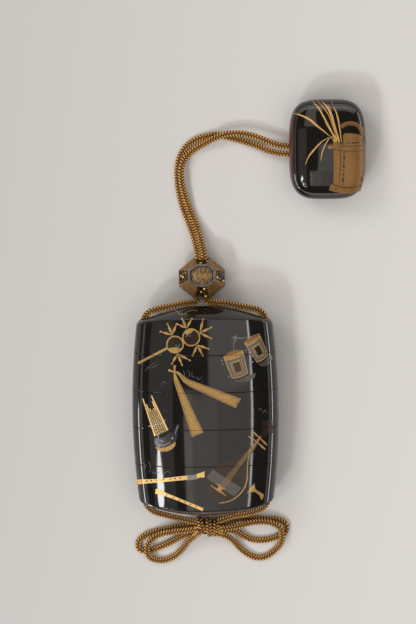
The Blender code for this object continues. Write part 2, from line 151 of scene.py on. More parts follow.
# The braid of the cord
BRAID_HALF_WIDTH = 1.28 * MM
BRAID_HALF_THICKNESS = 0.93 * MM
BRAID_SQUARENESS = 2.5
BRAID_AROUND = 24
STITCH = 1.12 * MM
RINGS_PER_STITCH = 6
STITCH_SLANT = 0.60 * MM
STITCH_DEPTH = 0.24 * MM
CROWN_POWER = 1.5
GROOVE_SHARE = 0.3
GROOVE_CROWN = 0.1
CORD_TUCK = 1.6 * MM

# Sprinkled pictures
PICTURE_SINK = 0.03 * MM
PICTURE_GRID = 3.0
GOLD_RAISE = 0.09 * MM
LAYER = 0.025 * MM
SIGHT_STEPS = 24
EDGE_SHARE = 0.9995
SHARP_CORNER = 0.4
CORNER_LIMIT = 1.6
BLADE_FINENESS = 0.78

# Sprinkled metal powders: name, dark and light grain, rubbed ground, metallic, roughness, fineness, wear
POWDERS = {
    "gold": ("gold_powder", (0.24, 0.132, 0.034), (0.54, 0.32, 0.10), (0.08, 0.04, 0.012), 0.25, 0.42,
             3200.0, 0.5),
    # The bright gold is partly painted glint: it lightens the flutes where light glints on them, and it paints
    # the plectrum's highlight.
    "gold_bright_and_glint": ("bright_gold_powder_and_painted_glint", (0.62, 0.36, 0.10), (0.95, 0.64, 0.25), (0.3, 0.16, 0.05), 0.25,
                    0.38),
    "gold_deep": ("deep_gold_powder", (0.17, 0.076, 0.014), (0.31, 0.148, 0.030), (0.08, 0.035, 0.01),
                  0.25, 0.40, 3200.0),
    "grass": ("grass_gold_powder", (0.46, 0.24, 0.05), (0.80, 0.49, 0.15), (0.2, 0.1, 0.03), 0.25, 0.38),
    "silver_dark": ("worn_silver", (0.006, 0.006, 0.007), (0.055, 0.055, 0.056), (0.004, 0.004, 0.004),
                    0.2, 0.22, 2200.0, 1.0),
    "silver": ("silver_powder", (0.10, 0.10, 0.10), (0.34, 0.33, 0.31), (0.02, 0.02, 0.02), 0.5, 0.4,
               5000.0, 0.8),
    "faint": ("rubbed_silver", (0.03, 0.03, 0.03), (0.14, 0.14, 0.14), (0.012, 0.011, 0.010), 0.3, 0.35,
              5000.0, 0.9),
    "slate": ("slate_powder", (0.055, 0.065, 0.07), (0.14, 0.15, 0.155), (0.03, 0.03, 0.03), 0.3, 0.35),
    "slate_dark": ("dull_silver_powder", (0.045, 0.043, 0.038), (0.13, 0.12, 0.105), (0.03, 0.02, 0.015),
                   0.3, 0.3),
    "brown": ("brown_powder", (0.014, 0.008, 0.005), (0.040, 0.022, 0.013), (0.008, 0.006, 0.005), 0.1, 0.18),
    "shadow": ("dark_brown_powder", (0.035, 0.028, 0.020), (0.10, 0.085, 0.065), (0.02, 0.015, 0.01), 0.2,
               0.25),
    "tan": ("tan_powder", (0.20, 0.15, 0.10), (0.38, 0.30, 0.22), (0.02, 0.015, 0.01), 0.4, 0.4),
    "shell": ("shell_blue", (0.02, 0.20, 0.18), (0.05, 0.55, 0.48), (0.02, 0.1, 0.1), 0.0, 0.2),
    "line": ("drawn_line", (0.02, 0.012, 0.006), (0.05, 0.03, 0.015), (0.02, 0.01, 0.005), 0.0, 0.4),
}

# The bead's metals: name, dark and light tone, roughness, metallic
METALS = {
    "gilt": ("old_gilt", (0.17, 0.088, 0.030), (0.33, 0.19, 0.075), 0.30, 0.6),
    "flake": ("flake_gold", (0.95, 0.66, 0.12), (1.0, 0.82, 0.26), 0.30, 0.0),
    "silver": ("dull_silver", (0.085, 0.082, 0.080), (0.21, 0.20, 0.19), 0.35, 0.5),
    "groove": ("dark_groove", (0.006, 0.007, 0.012), (0.020, 0.022, 0.032), 0.35, 0.0),
    "granular": ("granular_gold", (0.050, 0.042, 0.034), (0.22, 0.15, 0.075), 0.40, 0.5),
    "rim": ("rim_gold", (0.25, 0.13, 0.038), (0.56, 0.35, 0.12), 0.35, 0.5),
}

# How finely round things are cut, and the power of a true circle
AROUND = 176
ROUND = 2.0
PANEL_DISTANCE = 1.2

# Worked-out places
STACK_HEIGHT = BASE_HEIGHT + len(CASE_NAMES) * CASE_HEIGHT + LID_HEIGHT
RIM_Y = STACK_HEIGHT / 2
AXIS_Z = CASE_DEPTH / 2 - BACK_FLAT
RECESS_HALF_WIDTH = CHANNEL_X - CHANNEL_RADIUS - CHANNEL_WALL
SEAMS = [BASE_HEIGHT - RIM_Y + i * CASE_HEIGHT for i in range(len(CASE_NAMES) + 1)]

# The camera's directions
AHEAD = Vector((0.0, -math.sin(CAMERA_TILT), -math.cos(CAMERA_TILT)))
UPRIGHT = Vector((0.0, math.cos(CAMERA_TILT), -math.sin(CAMERA_TILT)))
RIGHT = math.cos(CAMERA_ROLL) * Vector((1.0, 0.0, 0.0)) - math.sin(CAMERA_ROLL) * UPRIGHT
UP = math.sin(CAMERA_ROLL) * Vector((1.0, 0.0, 0.0)) + math.cos(CAMERA_ROLL) * UPRIGHT
EYE = CAMERA_TARGET - CAMERA_DISTANCE * AHEAD
FOCAL_PIXELS = CAMERA_DISTANCE / PIXEL

# The cord's route in millimetres, from the bow up one side, round through the toggle and back
CORD_ROUTE = (
    (-4.4, -46.1, 5.2), (-9.9, -44.5, 6.6), (-16.6, -42.3, 8.6), (-22.0, -39.7, 10.6),
    (-23.8, -37.2, 11.6), (-24.0, -34.5, 11.75), (-24.0, -30.0, 11.75), (-24.0, 28.0, 11.75),
    (-24.0, 33.0, 11.75), (-23.9, 35.7, 11.8), (-23.1, 38.0, 11.9), (-21.4, 39.7, 11.9),
    (-18.7, 40.6, 11.9), (-14.1, 41.6, 11.7), (-8.8, 42.5, 10.4), (-5.2, 42.75, 8.6),
    (-2.9, 43.1, 7.4), (-2.0, 44.9, 7.0), (-2.0, 47.0, 7.0), (-2.0, 57.0, 7.0),
    (-2.2, 60.3, 6.8), (-3.4, 66.5, 4.0), (-5.2, 72.2, 2.0), (-7.1, 77.0, 1.15),
    (-8.8, 82.8, 1.1), (-9.8, 90.0, 1.1), (-9.7, 95.4, 1.1), (-8.6, 99.6, 1.1),
    (-6.6, 102.8, 1.1), (-2.7, 105.7, 1.1), (2.0, 107.2, 1.1), (6.1, 107.7, 1.1),
    (9.3, 106.9, 1.1), (15.8, 105.1, 1.3), (20.6, 103.5, 2.2), (25.4, 101.5, 3.4),
    (29.6, 100.5, 4.4), (33.1, 100.2, 5.0), (36.8, 99.8, 5.1), (40.6, 98.3, 5.3),
    (44.6, 97.4, 5.5), (48.4, 98.7, 5.5), (49.9, 101.8, 5.5), (48.4, 104.9, 5.5),
    (44.6, 106.2, 5.5), (40.6, 105.2, 5.3), (36.8, 103.7, 5.1), (33.1, 103.2, 5.0),
    (28.6, 103.9, 4.9), (23.8, 105.8, 4.8), (19.0, 107.5, 4.6), (14.2, 108.3, 4.4),
    (9.3, 108.0, 4.1), (6.1, 107.0, 3.7), (2.9, 105.5, 3.1), (-0.6, 103.6, 2.0),
    (-4.2, 101.3, 1.7), (-6.8, 98.7, 2.6), (-8.0, 95.8, 3.4), (-8.2, 89.5, 3.3),
    (-6.6, 82.7, 2.4), (-4.7, 77.2, 1.5), (-2.7, 72.4, 2.1), (-1.0, 66.6, 4.1),
    (0.3, 60.3, 6.8), (0.5, 57.0, 7.0), (0.5, 47.0, 7.0), (0.5, 44.9, 7.0),
    (1.4, 43.1, 7.4), (3.8, 42.75, 8.6), (8.0, 42.6, 10.4), (14.1, 41.6, 11.7),
    (18.7, 40.6, 11.9), (21.4, 39.7, 11.9), (23.1, 38.0, 11.9), (23.9, 35.7, 11.8),
    (24.0, 33.0, 11.75), (24.0, 28.0, 11.75), (24.0, -30.0, 11.75), (24.0, -34.5, 11.75),
    (23.8, -37.2, 11.6), (22.2, -39.3, 10.6), (17.8, -41.7, 8.6), (11.0, -43.4, 6.6),
    (5.6, -45.5, 5.2),
)

# The bow's four loops in millimetres, each from the knot out and back
BOW_LOOPS = {
    "bow_loop_left_front": (
        (-4.4, -48.9, 5.7), (-9.8, -49.8, 4.9), (-14.0, -50.3, 4.3), (-18.2, -51.2, 3.8), (-21.6, -52.9, 3.7),
        (-23.6, -55.3, 3.7), (-24.1, -58.0, 3.7), (-23.6, -60.1, 3.2), (-21.8, -62.1, 1.7),
        (-19.4, -62.8, 1.1), (-16.7, -62.6, 1.1), (-12.9, -60.9, 1.3), (-9.9, -57.7, 2.3), (-7.3, -54.0, 4.0),
        (-4.4, -51.3, 5.7)),
    "bow_loop_left_back": (
        (-4.4, -47.9, 2.9), (-9.8, -48.7, 1.9), (-16.1, -49.8, 1.2), (-21.2, -51.0, 1.1), (-25.3, -52.7, 1.1),
        (-27.5, -54.9, 1.1), (-27.4, -57.7, 1.1), (-24.8, -58.9, 1.1), (-21.8, -58.3, 1.1),
        (-18.3, -57.0, 1.1), (-14.1, -55.0, 1.3), (-9.8, -52.6, 1.9), (-4.4, -50.3, 2.9)),
    "bow_loop_right_front": (
        (5.6, -48.9, 5.7), (9.2, -48.7, 5.2), (13.4, -47.9, 4.6), (17.6, -47.0, 4.0), (21.8, -46.7, 3.7),
        (26.0, -47.4, 3.6), (29.1, -49.4, 3.6), (30.0, -52.3, 3.6), (29.9, -54.2, 3.4), (29.3, -56.2, 2.3),
        (27.3, -58.9, 1.3), (23.9, -61.5, 1.1), (20.5, -62.2, 1.1), (16.7, -60.9, 1.1), (13.3, -58.2, 1.5),
        (10.8, -54.9, 2.8), (8.3, -52.5, 4.4), (5.6, -51.3, 5.7)),
    "bow_loop_right_back": (
        (5.6, -47.6, 2.9), (9.2, -46.6, 2.2), (13.4, -46.0, 1.5), (19.8, -46.0, 1.1), (24.6, -46.4, 1.1),
        (29.2, -46.9, 1.1), (31.7, -48.9, 1.1), (31.2, -51.8, 1.1), (27.8, -53.7, 1.1), (21.8, -55.0, 1.1),
        (17.6, -54.5, 1.1), (14.6, -53.0, 1.3), (11.6, -51.0, 2.0), (8.6, -50.1, 2.6), (5.6, -50.0, 2.9)),
}


def set_camera():
    data = bpy.data.cameras.new("camera")
    data.sensor_width = SENSOR
    data.lens = FOCAL_PIXELS * SENSOR / PICTURE_HEIGHT
    data.clip_start = 10 * MM
    camera = add_to_scene(bpy.data.objects.new("camera", data))
    turn = Matrix((RIGHT, UP, -AHEAD)).transposed()
    camera.matrix_world = Matrix.Translation(EYE) @ turn.to_4x4()
    bpy.context.scene.camera = camera
    bpy.context.scene.view_settings.view_transform = "Standard"


# Small tools for modelling


def deselect_all():
    bpy.ops.object.select_all(action="DESELECT")


def add_to_scene(obj):
    bpy.context.scene.collection.objects.link(obj)
    return obj


def copy_of(obj):
    """A copy with a mesh of its own."""
    copy = obj.copy()
    copy.data = obj.data.copy()
    return add_to_scene(copy)


def pick(obj):
    """Makes obj the only selected object."""
    deselect_all()
    obj.select_set(True)
    bpy.context.view_layer.objects.active = obj


def start_editing(obj=None):
    """Edit mode with the whole mesh selected."""
    if obj:
        pick(obj)
    bpy.ops.object.mode_set(mode="EDIT")
    bpy.ops.mesh.select_all(action="SELECT")


def stop_editing():
    bpy.ops.object.mode_set(mode="OBJECT")


def choose_faces(obj, wanted):
    """Selects just the wanted faces, in edit mode."""
    bpy.ops.mesh.select_all(action="DESELECT")
    bm = bmesh.from_edit_mesh(obj.data)
    for face in bm.faces:
        face.select = wanted(face)
    bmesh.update_edit_mesh(obj.data)


def coat_chosen(obj, number):
    """Gives the selected faces the material with this number, in edit mode."""
    bm = bmesh.from_edit_mesh(obj.data)
    for face in bm.faces:
        if face.select:
            face.material_index = number
    bmesh.update_edit_mesh(obj.data)


def coat(obj, *materials):
    obj.data.materials.clear()
    for material in materials:
        obj.data.materials.append(material)


def joined(objects, name):
    """One object of several, each keeping its materials."""
    pick(objects[0])
    for obj in objects[1:]:
        obj.select_set(True)
    if len(objects) > 1:
        bpy.ops.object.join()
    made = bpy.context.object
    made.name = name
    made.data.name = name
    return made


def apply_modifier(obj, kind, **settings):
    pick(obj)
    modifier = obj.modifiers.new(kind.lower(), kind)
    for key, value in settings.items():
        setattr(modifier, key, value)
    bpy.ops.object.modifier_apply(modifier=modifier.name)


def shade(obj, angle):
    pick(obj)
    bpy.ops.object.shade_smooth_by_angle(angle=math.radians(angle))


def finish_piece(obj, replaces=None):
    """The piece rides on the part's one body, and the model's own part that it replaces is hidden."""
    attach(obj, "root")
    if replaces:
        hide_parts(replaces)


def loft(name, rings):
    """A ring of points extruded from place to place; a ring of one point closes an end."""
    count = max(len(ring) for ring in rings)
    deselect_all()
    bpy.ops.mesh.primitive_circle_add(vertices=count, radius=MM)
    obj = bpy.context.object
    obj.name = name
    mesh = obj.data
    mesh.attributes.new("place", "INT", "POINT").data.foreach_set("value", list(range(count)))
    start_editing()
    for number, ring in enumerate(rings):
        if number:
            bpy.ops.mesh.extrude_region_move()
        bm = bmesh.from_edit_mesh(mesh)
        layer = bm.verts.layers.int["place"]
        for vert in bm.verts:
            if vert.select:
                vert.co = ring[vert[layer] if len(ring) > 1 else 0]
        bmesh.update_edit_mesh(mesh)
    bpy.ops.mesh.select_all(action="SELECT")
    bpy.ops.mesh.remove_doubles(threshold=SAME_PLACE)
    bpy.ops.mesh.normals_make_consistent(inside=False)
    stop_editing()
    mesh.attributes.remove(mesh.attributes["place"])
    return obj


def cut(obj, cutter):
    apply_modifier(obj, "BOOLEAN", operation="DIFFERENCE", solver="EXACT", object=cutter)


def drop(obj):
    bpy.data.objects.remove(obj, do_unlink=True)


# The lacquer cases


def signed_power(value, power):
    return math.copysign(abs(value) ** power, value)


def squared(angle, squareness):
    """Two arrays with the places on a squared circle of unit size at these angles."""
    return [np.sign(part) * np.abs(part) ** (2 / squareness) for part in (np.cos(angle), np.sin(angle))]


def round_section(half_width, half_depth, squareness, count):
    points = []
    for i in range(count):
        angle = 2 * math.pi * i / count
        points.append((half_width * signed_power(math.cos(angle), 2 / squareness),
                       half_depth * signed_power(math.sin(angle), 2 / squareness)))
    return points


def even_section(squareness, count, fine=40000):
    """Points (x, z) round a squared ellipse of unit half sizes, evenly spaced on the case's own section."""
    x, z = squared(np.linspace(0.0, 2 * math.pi, fine), squareness)
    steps = np.hypot(np.diff(x) * CASE_WIDTH, np.diff(z) * CASE_DEPTH)
    run = np.concatenate(([0.0], np.cumsum(steps)))
    wanted = np.arange(count) / count * run[-1]
    return list(zip(np.interp(wanted, run, x), np.interp(wanted, run, z)))


WALL_SECTION = even_section(SQUARENESS, AROUND)
HOLLOW_SECTION = even_section(HOLLOW_SQUARENESS, AROUND)


def half_width_at(y):
    return CASE_WIDTH / 2 - (CASE_WIDTH - END_WIDTH) / 2 * (y / RIM_Y) ** 2


def half_depth_at(y):
    return CASE_DEPTH / 2 - (CASE_DEPTH - END_DEPTH) / 2 * (y / RIM_Y) ** 2


def wall_point(y, index, inset=0.0):
    """A point of the outer wall, drawn in by the inset, and never below the ground."""
    x, z = WALL_SECTION[index]
    width, depth = half_width_at(y), half_depth_at(y)
    out = Vector((signed_power(x, SQUARENESS - 1) / width, signed_power(z, SQUARENESS - 1) / depth))
    out.normalize()
    return Vector((x * width - out.x * inset, y, max(AXIS_Z + z * depth - out.y * inset, 0.0)))


def lip_rings(face, sign):
    """The fine rounded lip at a seam; sign is the way that the wall runs from it."""
    return [wall_ring(face + sign * LIP * along, LIP * inset)
            for along, inset in ((0.0, 1.0), (0.3, 0.3), (1.0, 0.0), (2.0, 0.0))]


def wall_ring(y, inset=0.0):
    return [wall_point(y, i, inset) for i in range(AROUND)]


def hollow_ring(half_width, half_depth, y):
    return [Vector((x * half_width, y, AXIS_Z + z * half_depth)) for x, z in HOLLOW_SECTION]


def recess_size(seam):
    return RECESS_HALF_WIDTH, half_depth_at(seam) - OUTER_WALL


def riser_size(seam):
    width, depth = recess_size(seam)
    return width - RISER_FIT, depth - RISER_FIT


def pocket_size(seam):
    width, depth = riser_size(seam)
    return width - RISER_WALL, depth - RISER_WALL


def wall_rings(low, high, rows):
    """The outer wall between two seams."""
    between = [wall_ring(low + (high - low) * row / rows) for row in range(1, rows)]
    return lip_rings(low, 1) + between + lip_rings(high, -1)[::-1]


def domed_end(seam_face, sign, dome, rim_power, edge_radius, rows=12, edge_steps=8, dome_steps=18):
    """The outer wall from its lip over the rim to the middle of a domed end; sign is +1 for the lid."""
    starts, edges, radii = [], [], []
    for i in range(AROUND):
        rim_point = wall_point(sign * RIM_Y, i)
        share = abs(rim_point.x) / (END_WIDTH / 2)
        rim = RIM_Y - RIM_DROP * share ** rim_power
        radius = edge_radius + (CORNER_RADIUS - edge_radius) * share ** CORNER_POWER
        reach = math.hypot(rim_point.x, rim_point.z - AXIS_Z)
        turn = math.pi / 2 - math.atan(2 * (RIM_Y + dome - rim) / reach)
        starts.append(rim - radius * math.tan(turn / 2))
        edges.append(turn)
        radii.append(radius)
    lip = seam_face + sign * LIP
    rings = lip_rings(seam_face, sign)
    for row in range(1, rows + 1):
        rings.append([wall_point(lip + (sign * starts[i] - lip) * row / rows, i) for i in range(AROUND)])
    for step in range(1, edge_steps + 1):
        ring = []
        for i in range(AROUND):
            turn = edges[i] * step / edge_steps
            point = wall_point(sign * starts[i], i, radii[i] * (1 - math.cos(turn)))
            point.y = sign * (starts[i] + radii[i] * math.sin(turn))
            ring.append(point)
        rings.append(ring)
    edge = rings[-1]
    top = RIM_Y + dome
    for step in range(dome_steps - 1, 0, -1):
        share = step / dome_steps
        rings.append([Vector((point.x * share, sign * (top - (top - abs(point.y)) * share ** 2),
                              AXIS_Z + (point.z - AXIS_Z) * share)) for point in edge])
    return rings + [[Vector((0.0, sign * top, AXIS_Z))]]


def riser_rings(seam, height):
    top = seam - SEAM_LINE / 2
    return [
        hollow_ring(*riser_size(seam), top),
        hollow_ring(*riser_size(seam), top + RISER_HEIGHT),
        hollow_ring(*pocket_size(seam), top + RISER_HEIGHT),
        hollow_ring(*pocket_size(seam), height),
        [Vector((0.0, height, AXIS_Z))],
    ]


def recess_rings(seam):
    face = seam + SEAM_LINE / 2
    return [hollow_ring(*recess_size(seam), face + RECESS_DEPTH), hollow_ring(*recess_size(seam), face)]


def channel_cutter(side):
    """The bore for the cord on one side, wider at its two mouths."""
    over = RIM_Y + max(LID_DOME, BASE_DOME)
    mouth = RIM_Y - MOUTH_DEPTH
    rings = [[Vector((side * CHANNEL_X, -over, AXIS_Z))]]
    for y, wider in ((-over, MOUTH_WIDENING), (-mouth, 0.0), (mouth, 0.0), (over, MOUTH_WIDENING)):
        radius = CHANNEL_RADIUS + wider
        rings.append([Vector((side * (CHANNEL_X - wider) + x, y, AXIS_Z + z))
                      for x, z in round_section(radius, radius, ROUND, CHANNEL_AROUND)])
    rings.append([Vector((side * CHANNEL_X, over, AXIS_Z))])
    return loft("channel", rings)


def make_base():
    rings = domed_end(SEAMS[0] - SEAM_LINE / 2, -1, BASE_DOME, BASE_RIM_POWER, BASE_EDGE_RADIUS)
    rings.reverse()
    return loft("lacquer_base", rings + riser_rings(SEAMS[0], BASE_FLOOR - RIM_Y))


def make_case(name, low, high):
    face, top = low + SEAM_LINE / 2, high - SEAM_LINE / 2
    rings = [[Vector((0.0, face + RECESS_DEPTH, AXIS_Z))]]
    rings += recess_rings(low) + wall_rings(face, top, rows=12)
    rings += riser_rings(high, face + RECESS_DEPTH + FLOOR)
    return loft("lacquer_" + name, rings)


def make_lid():
    seam = SEAMS[-1]
    face = seam + SEAM_LINE / 2
    roof = RIM_Y - LID_ROOF
    width, depth = pocket_size(seam)
    rings = [
        [Vector((0.0, roof + LID_ROOF_RISE, AXIS_Z))],
        hollow_ring(width * LID_ROOF_SHOULDER, depth * LID_ROOF_SHOULDER,
                    roof + LID_ROOF_RISE * (1 - LID_ROOF_SHOULDER ** 2)),
        hollow_ring(width, depth, roof),
        hollow_ring(width, depth, face + RECESS_DEPTH),
    ]
    rings += recess_rings(seam)
    rings += domed_end(face, 1, LID_DOME, LID_RIM_POWER, LID_EDGE_RADIUS)
    return loft("lacquer_lid", rings)


def make_stack(lacquer):
    """The five nested pieces, bored for the cord."""
    pieces = {"base": make_base()}
    for name, low, high in zip(CASE_NAMES, SEAMS, SEAMS[1:]):
        pieces[name] = make_case(name, low, high)
    pieces["lid"] = make_lid()
    for side in (-1, 1):
        cutter = channel_cutter(side)
        for piece in pieces.values():
            cut(piece, cutter)
        drop(cutter)
    for node, piece in pieces.items():
        coat(piece, lacquer)
        shade(piece, 35)
        finish_piece(piece, node)
    return pieces


# The braided cord


def smooth_curve(route, step=0.4 * MM):
    """Closely spaced points on one smooth curve through the route's points, in metres."""
    points = [Vector(p) * MM for p in route]
    padded = [2 * points[0] - points[1]] + points + [2 * points[-1] - points[-2]]
    curve = [points[0]]
    for before, start, end, after in zip(padded, padded[1:], padded[2:], padded[3:]):
        gaps = [max((b - a).length, 1e-9) for a, b in ((before, start), (start, end), (end, after))]
        leave = ((start - before) / gaps[0] - (end - before) / (gaps[0] + gaps[1])
                 + (end - start) / gaps[1]) * gaps[1]
        arrive = ((end - start) / gaps[1] - (after - start) / (gaps[1] + gaps[2])
                  + (after - end) / gaps[2]) * gaps[1]
        count = max(2, round(gaps[1] / step))
        for i in range(1, count + 1):
            t = i / count
            curve.append((2 * t**3 - 3 * t**2 + 1) * start + (t**3 - 2 * t**2 + t) * leave
                         + (3 * t**2 - 2 * t**3) * end + (t**3 - t**2) * arrive)
    return np.array(curve)


def unit(rows):
    return rows / np.linalg.norm(rows, axis=1)[:, None]


def tucked(line, tuck):
    """The line run on straight at both ends, into what holds it."""
    first = line[0] - unit((line[3] - line[0])[None])[0] * tuck
    last = line[-1] + unit((line[-1] - line[-4])[None])[0] * tuck
    return np.vstack((first, line, last))


def braid(name, line, outward, silk):
    """A flat braid along the line, broad side towards outward: two columns of slanting stitches a face."""
    run = np.concatenate(([0.0], np.cumsum(np.linalg.norm(np.diff(line, axis=0), axis=1))))
    along = unit(np.gradient(line, axis=0))
    side = unit(np.cross(along, outward))
    upward = np.cross(side, along)
    rings = max(2, round(run[-1] / STITCH) * RINGS_PER_STITCH)
    across, over = squared(2 * math.pi * (np.arange(BRAID_AROUND) + 0.5) / BRAID_AROUND, BRAID_SQUARENESS)
    ring_run = np.linspace(0.0, run[-1], rings + 1)[:, None]
    place = np.clip(ring_run - STITCH_SLANT * (np.abs(across) - 0.5), 0.0, run[-1])
    phase = ring_run / STITCH + np.where(across > 0, 0.5, 0.0)
    groove = np.clip(np.abs(across) / GROOVE_SHARE, 0.0, 1.0)
    crown = np.abs(np.sin(math.pi * phase)) ** CROWN_POWER * (GROOVE_CROWN + (1 - GROOVE_CROWN) * groove)
    out = unit(np.stack((across / BRAID_HALF_WIDTH, over / BRAID_HALF_THICKNESS), axis=1))
    low = STITCH_DEPTH * (1 - crown)
    x = across * BRAID_HALF_WIDTH - out[:, 0] * low
    z = over * BRAID_HALF_THICKNESS - out[:, 1] * low

    def at(values):
        return np.stack([np.interp(place, run, values[:, axis]) for axis in range(3)], axis=-1)

    points = at(line) + at(side) * x[..., None] + at(upward) * z[..., None]
    count = BRAID_AROUND
    ring, spot = np.meshgrid(np.arange(rings), np.arange(count), indexing="ij")
    following = (spot + 1) % count
    faces = np.stack((ring * count + spot, (ring + 1) * count + spot,
                      (ring + 1) * count + following, ring * count + following), axis=-1).reshape(-1, 4)
    ends = [tuple(range(count)), tuple(reversed(range(rings * count, (rings + 1) * count)))]
    mesh = bpy.data.meshes.new(name)
    mesh.from_pydata(points.reshape(-1, 3).tolist(), [], faces.tolist() + ends)
    # The crown is also kept on the points, so the silk can paint shade between the stitches and highlights on
    # their crowns.
    crowns = mesh.attributes.new("crown", "FLOAT", "POINT")
    crowns.data.foreach_set("value", crown.reshape(-1).astype(np.float32))
    uv = np.stack((
        np.stack((spot, spot, spot + 1, spot + 1), axis=-1) / count,
        np.stack((ring, ring + 1, ring + 1, ring), axis=-1) / RINGS_PER_STITCH), axis=-1).reshape(-1, 2)
    uv = np.vstack((uv, np.zeros((2 * count, 2))))
    mesh.uv_layers.new(name="braid").data.foreach_set("uv", uv.reshape(-1).astype(np.float32))
    obj = add_to_scene(bpy.data.objects.new(name, mesh))
    coat(obj, silk)
    start_editing(obj)
    bpy.ops.mesh.normals_make_consistent(inside=False)
    stop_editing()
    bpy.ops.object.shade_smooth()
    return obj


def upwards(line):
    return np.tile((0.0, 0.0, 1.0), (len(line), 1))


def free_cord(name, route, silk):
    """A limp length of the braid along its route."""
    line = tucked(smooth_curve(route), CORD_TUCK)
    piece = braid("silk_" + name, line, upwards(line), silk)
    finish_piece(piece, name)


def wrap(offset, half_y, half_z, lean, drop_by, silk):
    """One turn of the cord round the bow's middle, sizes in millimetres."""
    turn = np.linspace(0.0, 2 * math.pi, WRAP_POINTS) - math.pi / 2
    y, z = squared(turn, WRAP_SQUARENESS)
    line = np.stack((KNOT_CENTRE.x + (offset + lean * y) * MM,
                     KNOT_CENTRE.y + (y * half_y + drop_by) * MM, KNOT_CENTRE.z + z * half_z * MM), axis=1)
    outward = np.stack((np.zeros_like(y), y / half_y, z / half_z), axis=1)
    return braid("wrap", line, outward, silk)


def make_knot(silk):
    """Three turns of the braid over a soft core that the loops' ends run into."""
    deselect_all()
    bpy.ops.mesh.primitive_cube_add(size=2.0)
    core = bpy.context.object
    start_editing()
    bpy.ops.mesh.subdivide(number_cuts=7)
    stop_editing()
    for vert in core.data.vertices:
        fullness = sum(abs(value) ** KNOT_POWER for value in vert.co) ** (1 / KNOT_POWER)
        vert.co = [KNOT_CENTRE[axis] + vert.co[axis] / fullness * CORE_HALF[axis] for axis in range(3)]
    coat(core, silk)
    parts = [core]
    for turn in KNOT_TURNS:
        parts.append(wrap(*turn, silk))
    for route in BOW_LOOPS.values():
        line = smooth_curve(route)
        for here, before in ((line[0], line[3]), (line[-1], line[-4])):
            ahead = (here - before) / np.linalg.norm(here - before)
            strand = here + np.outer(np.linspace(*TAIL_REACH, 10), ahead)
            parts.append(braid("tail", strand, upwards(strand), silk))
    knot = joined(parts, "silk_bow_knot")
    shade(knot, 180)
    finish_piece(knot, "bow_knot")
    return knot


# Sprinkled pictures


def sight(px, py):
    """The direction from the camera's eye through a point of the picture."""
    return (AHEAD + (px - PICTURE_MIDDLE[0]) / FOCAL_PIXELS * RIGHT
            - (py - PICTURE_MIDDLE[1]) / FOCAL_PIXELS * UP)


def on_case(px, py):
    """Where a picture point falls on the front of the cases, and how the surface faces there."""
    ahead = sight(px, py)
    z = CASE_DEPTH
    for _ in range(SIGHT_STEPS):
        point = EYE + ahead * ((z - EYE.z) / ahead.z)
        width, depth = half_width_at(point.y), half_depth_at(point.y)
        share = min(abs(point.x) / width, EDGE_SHARE)
        z = AXIS_Z + depth * (1 - share ** SQUARENESS) ** (1 / SQUARENESS)
    narrowing = -(CASE_WIDTH - END_WIDTH) * point.y / RIM_Y ** 2 / width
    thinning = -(CASE_DEPTH - END_DEPTH) * point.y / RIM_Y ** 2 / depth
    height = (z - AXIS_Z) / depth
    normal = Vector((
        signed_power(point.x / width, SQUARENESS - 1) / width,
        -(share ** SQUARENESS * narrowing + height ** SQUARENESS * thinning),
        height ** (SQUARENESS - 1) / depth))
    return Vector((point.x, point.y, z)), normal.normalized()


def on_netsuke(px, py):
    """The same for the front of the toggle."""
    ahead = sight(px, py)
    power = NETSUKE_PLAN_SQUARENESS
    z = NETSUKE_CENTRE.z + NETSUKE_HALF.z
    for _ in range(SIGHT_STEPS):
        point = EYE + ahead * ((z - EYE.z) / ahead.z)
        x = (point.x - NETSUKE_CENTRE.x) / NETSUKE_HALF.x
        y = (point.y - NETSUKE_CENTRE.y) / NETSUKE_HALF.y
        plan = min((abs(x) ** power + abs(y) ** power) ** (1 / power), EDGE_SHARE)
        height = (1 - plan ** NETSUKE_SIDE_SQUARENESS) ** (1 / NETSUKE_SIDE_SQUARENESS)
        z = NETSUKE_CENTRE.z + NETSUKE_HALF.z * height
    slope = plan ** (NETSUKE_SIDE_SQUARENESS - power)
    normal = Vector((slope * signed_power(x, power - 1) / NETSUKE_HALF.x,
                     slope * signed_power(y, power - 1) / NETSUKE_HALF.y,
                     height ** (NETSUKE_SIDE_SQUARENESS - 1) / NETSUKE_HALF.z))
    return Vector((point.x, point.y, z)), normal.normalized()


def surface_of(obj):
    """A place finder, like on_case, for any modelled piece."""
    tree = BVHTree.FromObject(obj, bpy.context.evaluated_depsgraph_get())

    def place(px, py):
        point, normal, _, _ = tree.ray_cast(EYE, sight(px, py).normalized())
        return point, normal

    return place


def disc(centre, radius, count=28, squash=1.0):
    return [(centre[0] + radius * math.cos(2 * math.pi * i / count),
             centre[1] + radius * squash * math.sin(2 * math.pi * i / count)) for i in range(count)]


def bent_line(points, steps=5):
    """More points on a smooth line through the given ones."""
    if len(points) == 2:
        return list(points)
    padded = [points[0]] + list(points) + [points[-1]]
    line = [points[0]]
    for a, b, c, d in zip(padded, padded[1:], padded[2:], padded[3:]):
        for i in range(1, steps + 1):
            t = i / steps
            line.append(tuple(
                0.5 * (2 * q + (r - p) * t + (2 * p - 5 * q + 4 * r - s) * t**2
                       + (3 * q - p - 3 * r + s) * t**3)
                for p, q, r, s in zip(a, b, c, d)))
    return line


def stroke(points, widths):
    """The outline of a brush stroke along a bent line; widths are spread evenly along it."""
    line = np.array(bent_line(points))
    run = np.concatenate(([0.0], np.cumsum(np.linalg.norm(np.diff(line, axis=0), axis=1))))
    widths = np.interp(run / run[-1], np.linspace(0.0, 1.0, len(widths)), widths)
    along = np.gradient(line, axis=0)
    along /= np.linalg.norm(along, axis=1)[:, None]
    out = np.stack((-along[:, 1], along[:, 0]), axis=1) * widths[:, None] / 2
    return [tuple(p) for p in line + out] + [tuple(p) for p in (line - out)[::-1]]


def area_of(outline):
    """Twice the outline's area, below zero where it runs round the other way."""
    return sum(a[0] * b[1] - b[0] * a[1] for a, b in zip(outline, outline[1:] + outline[:1]))


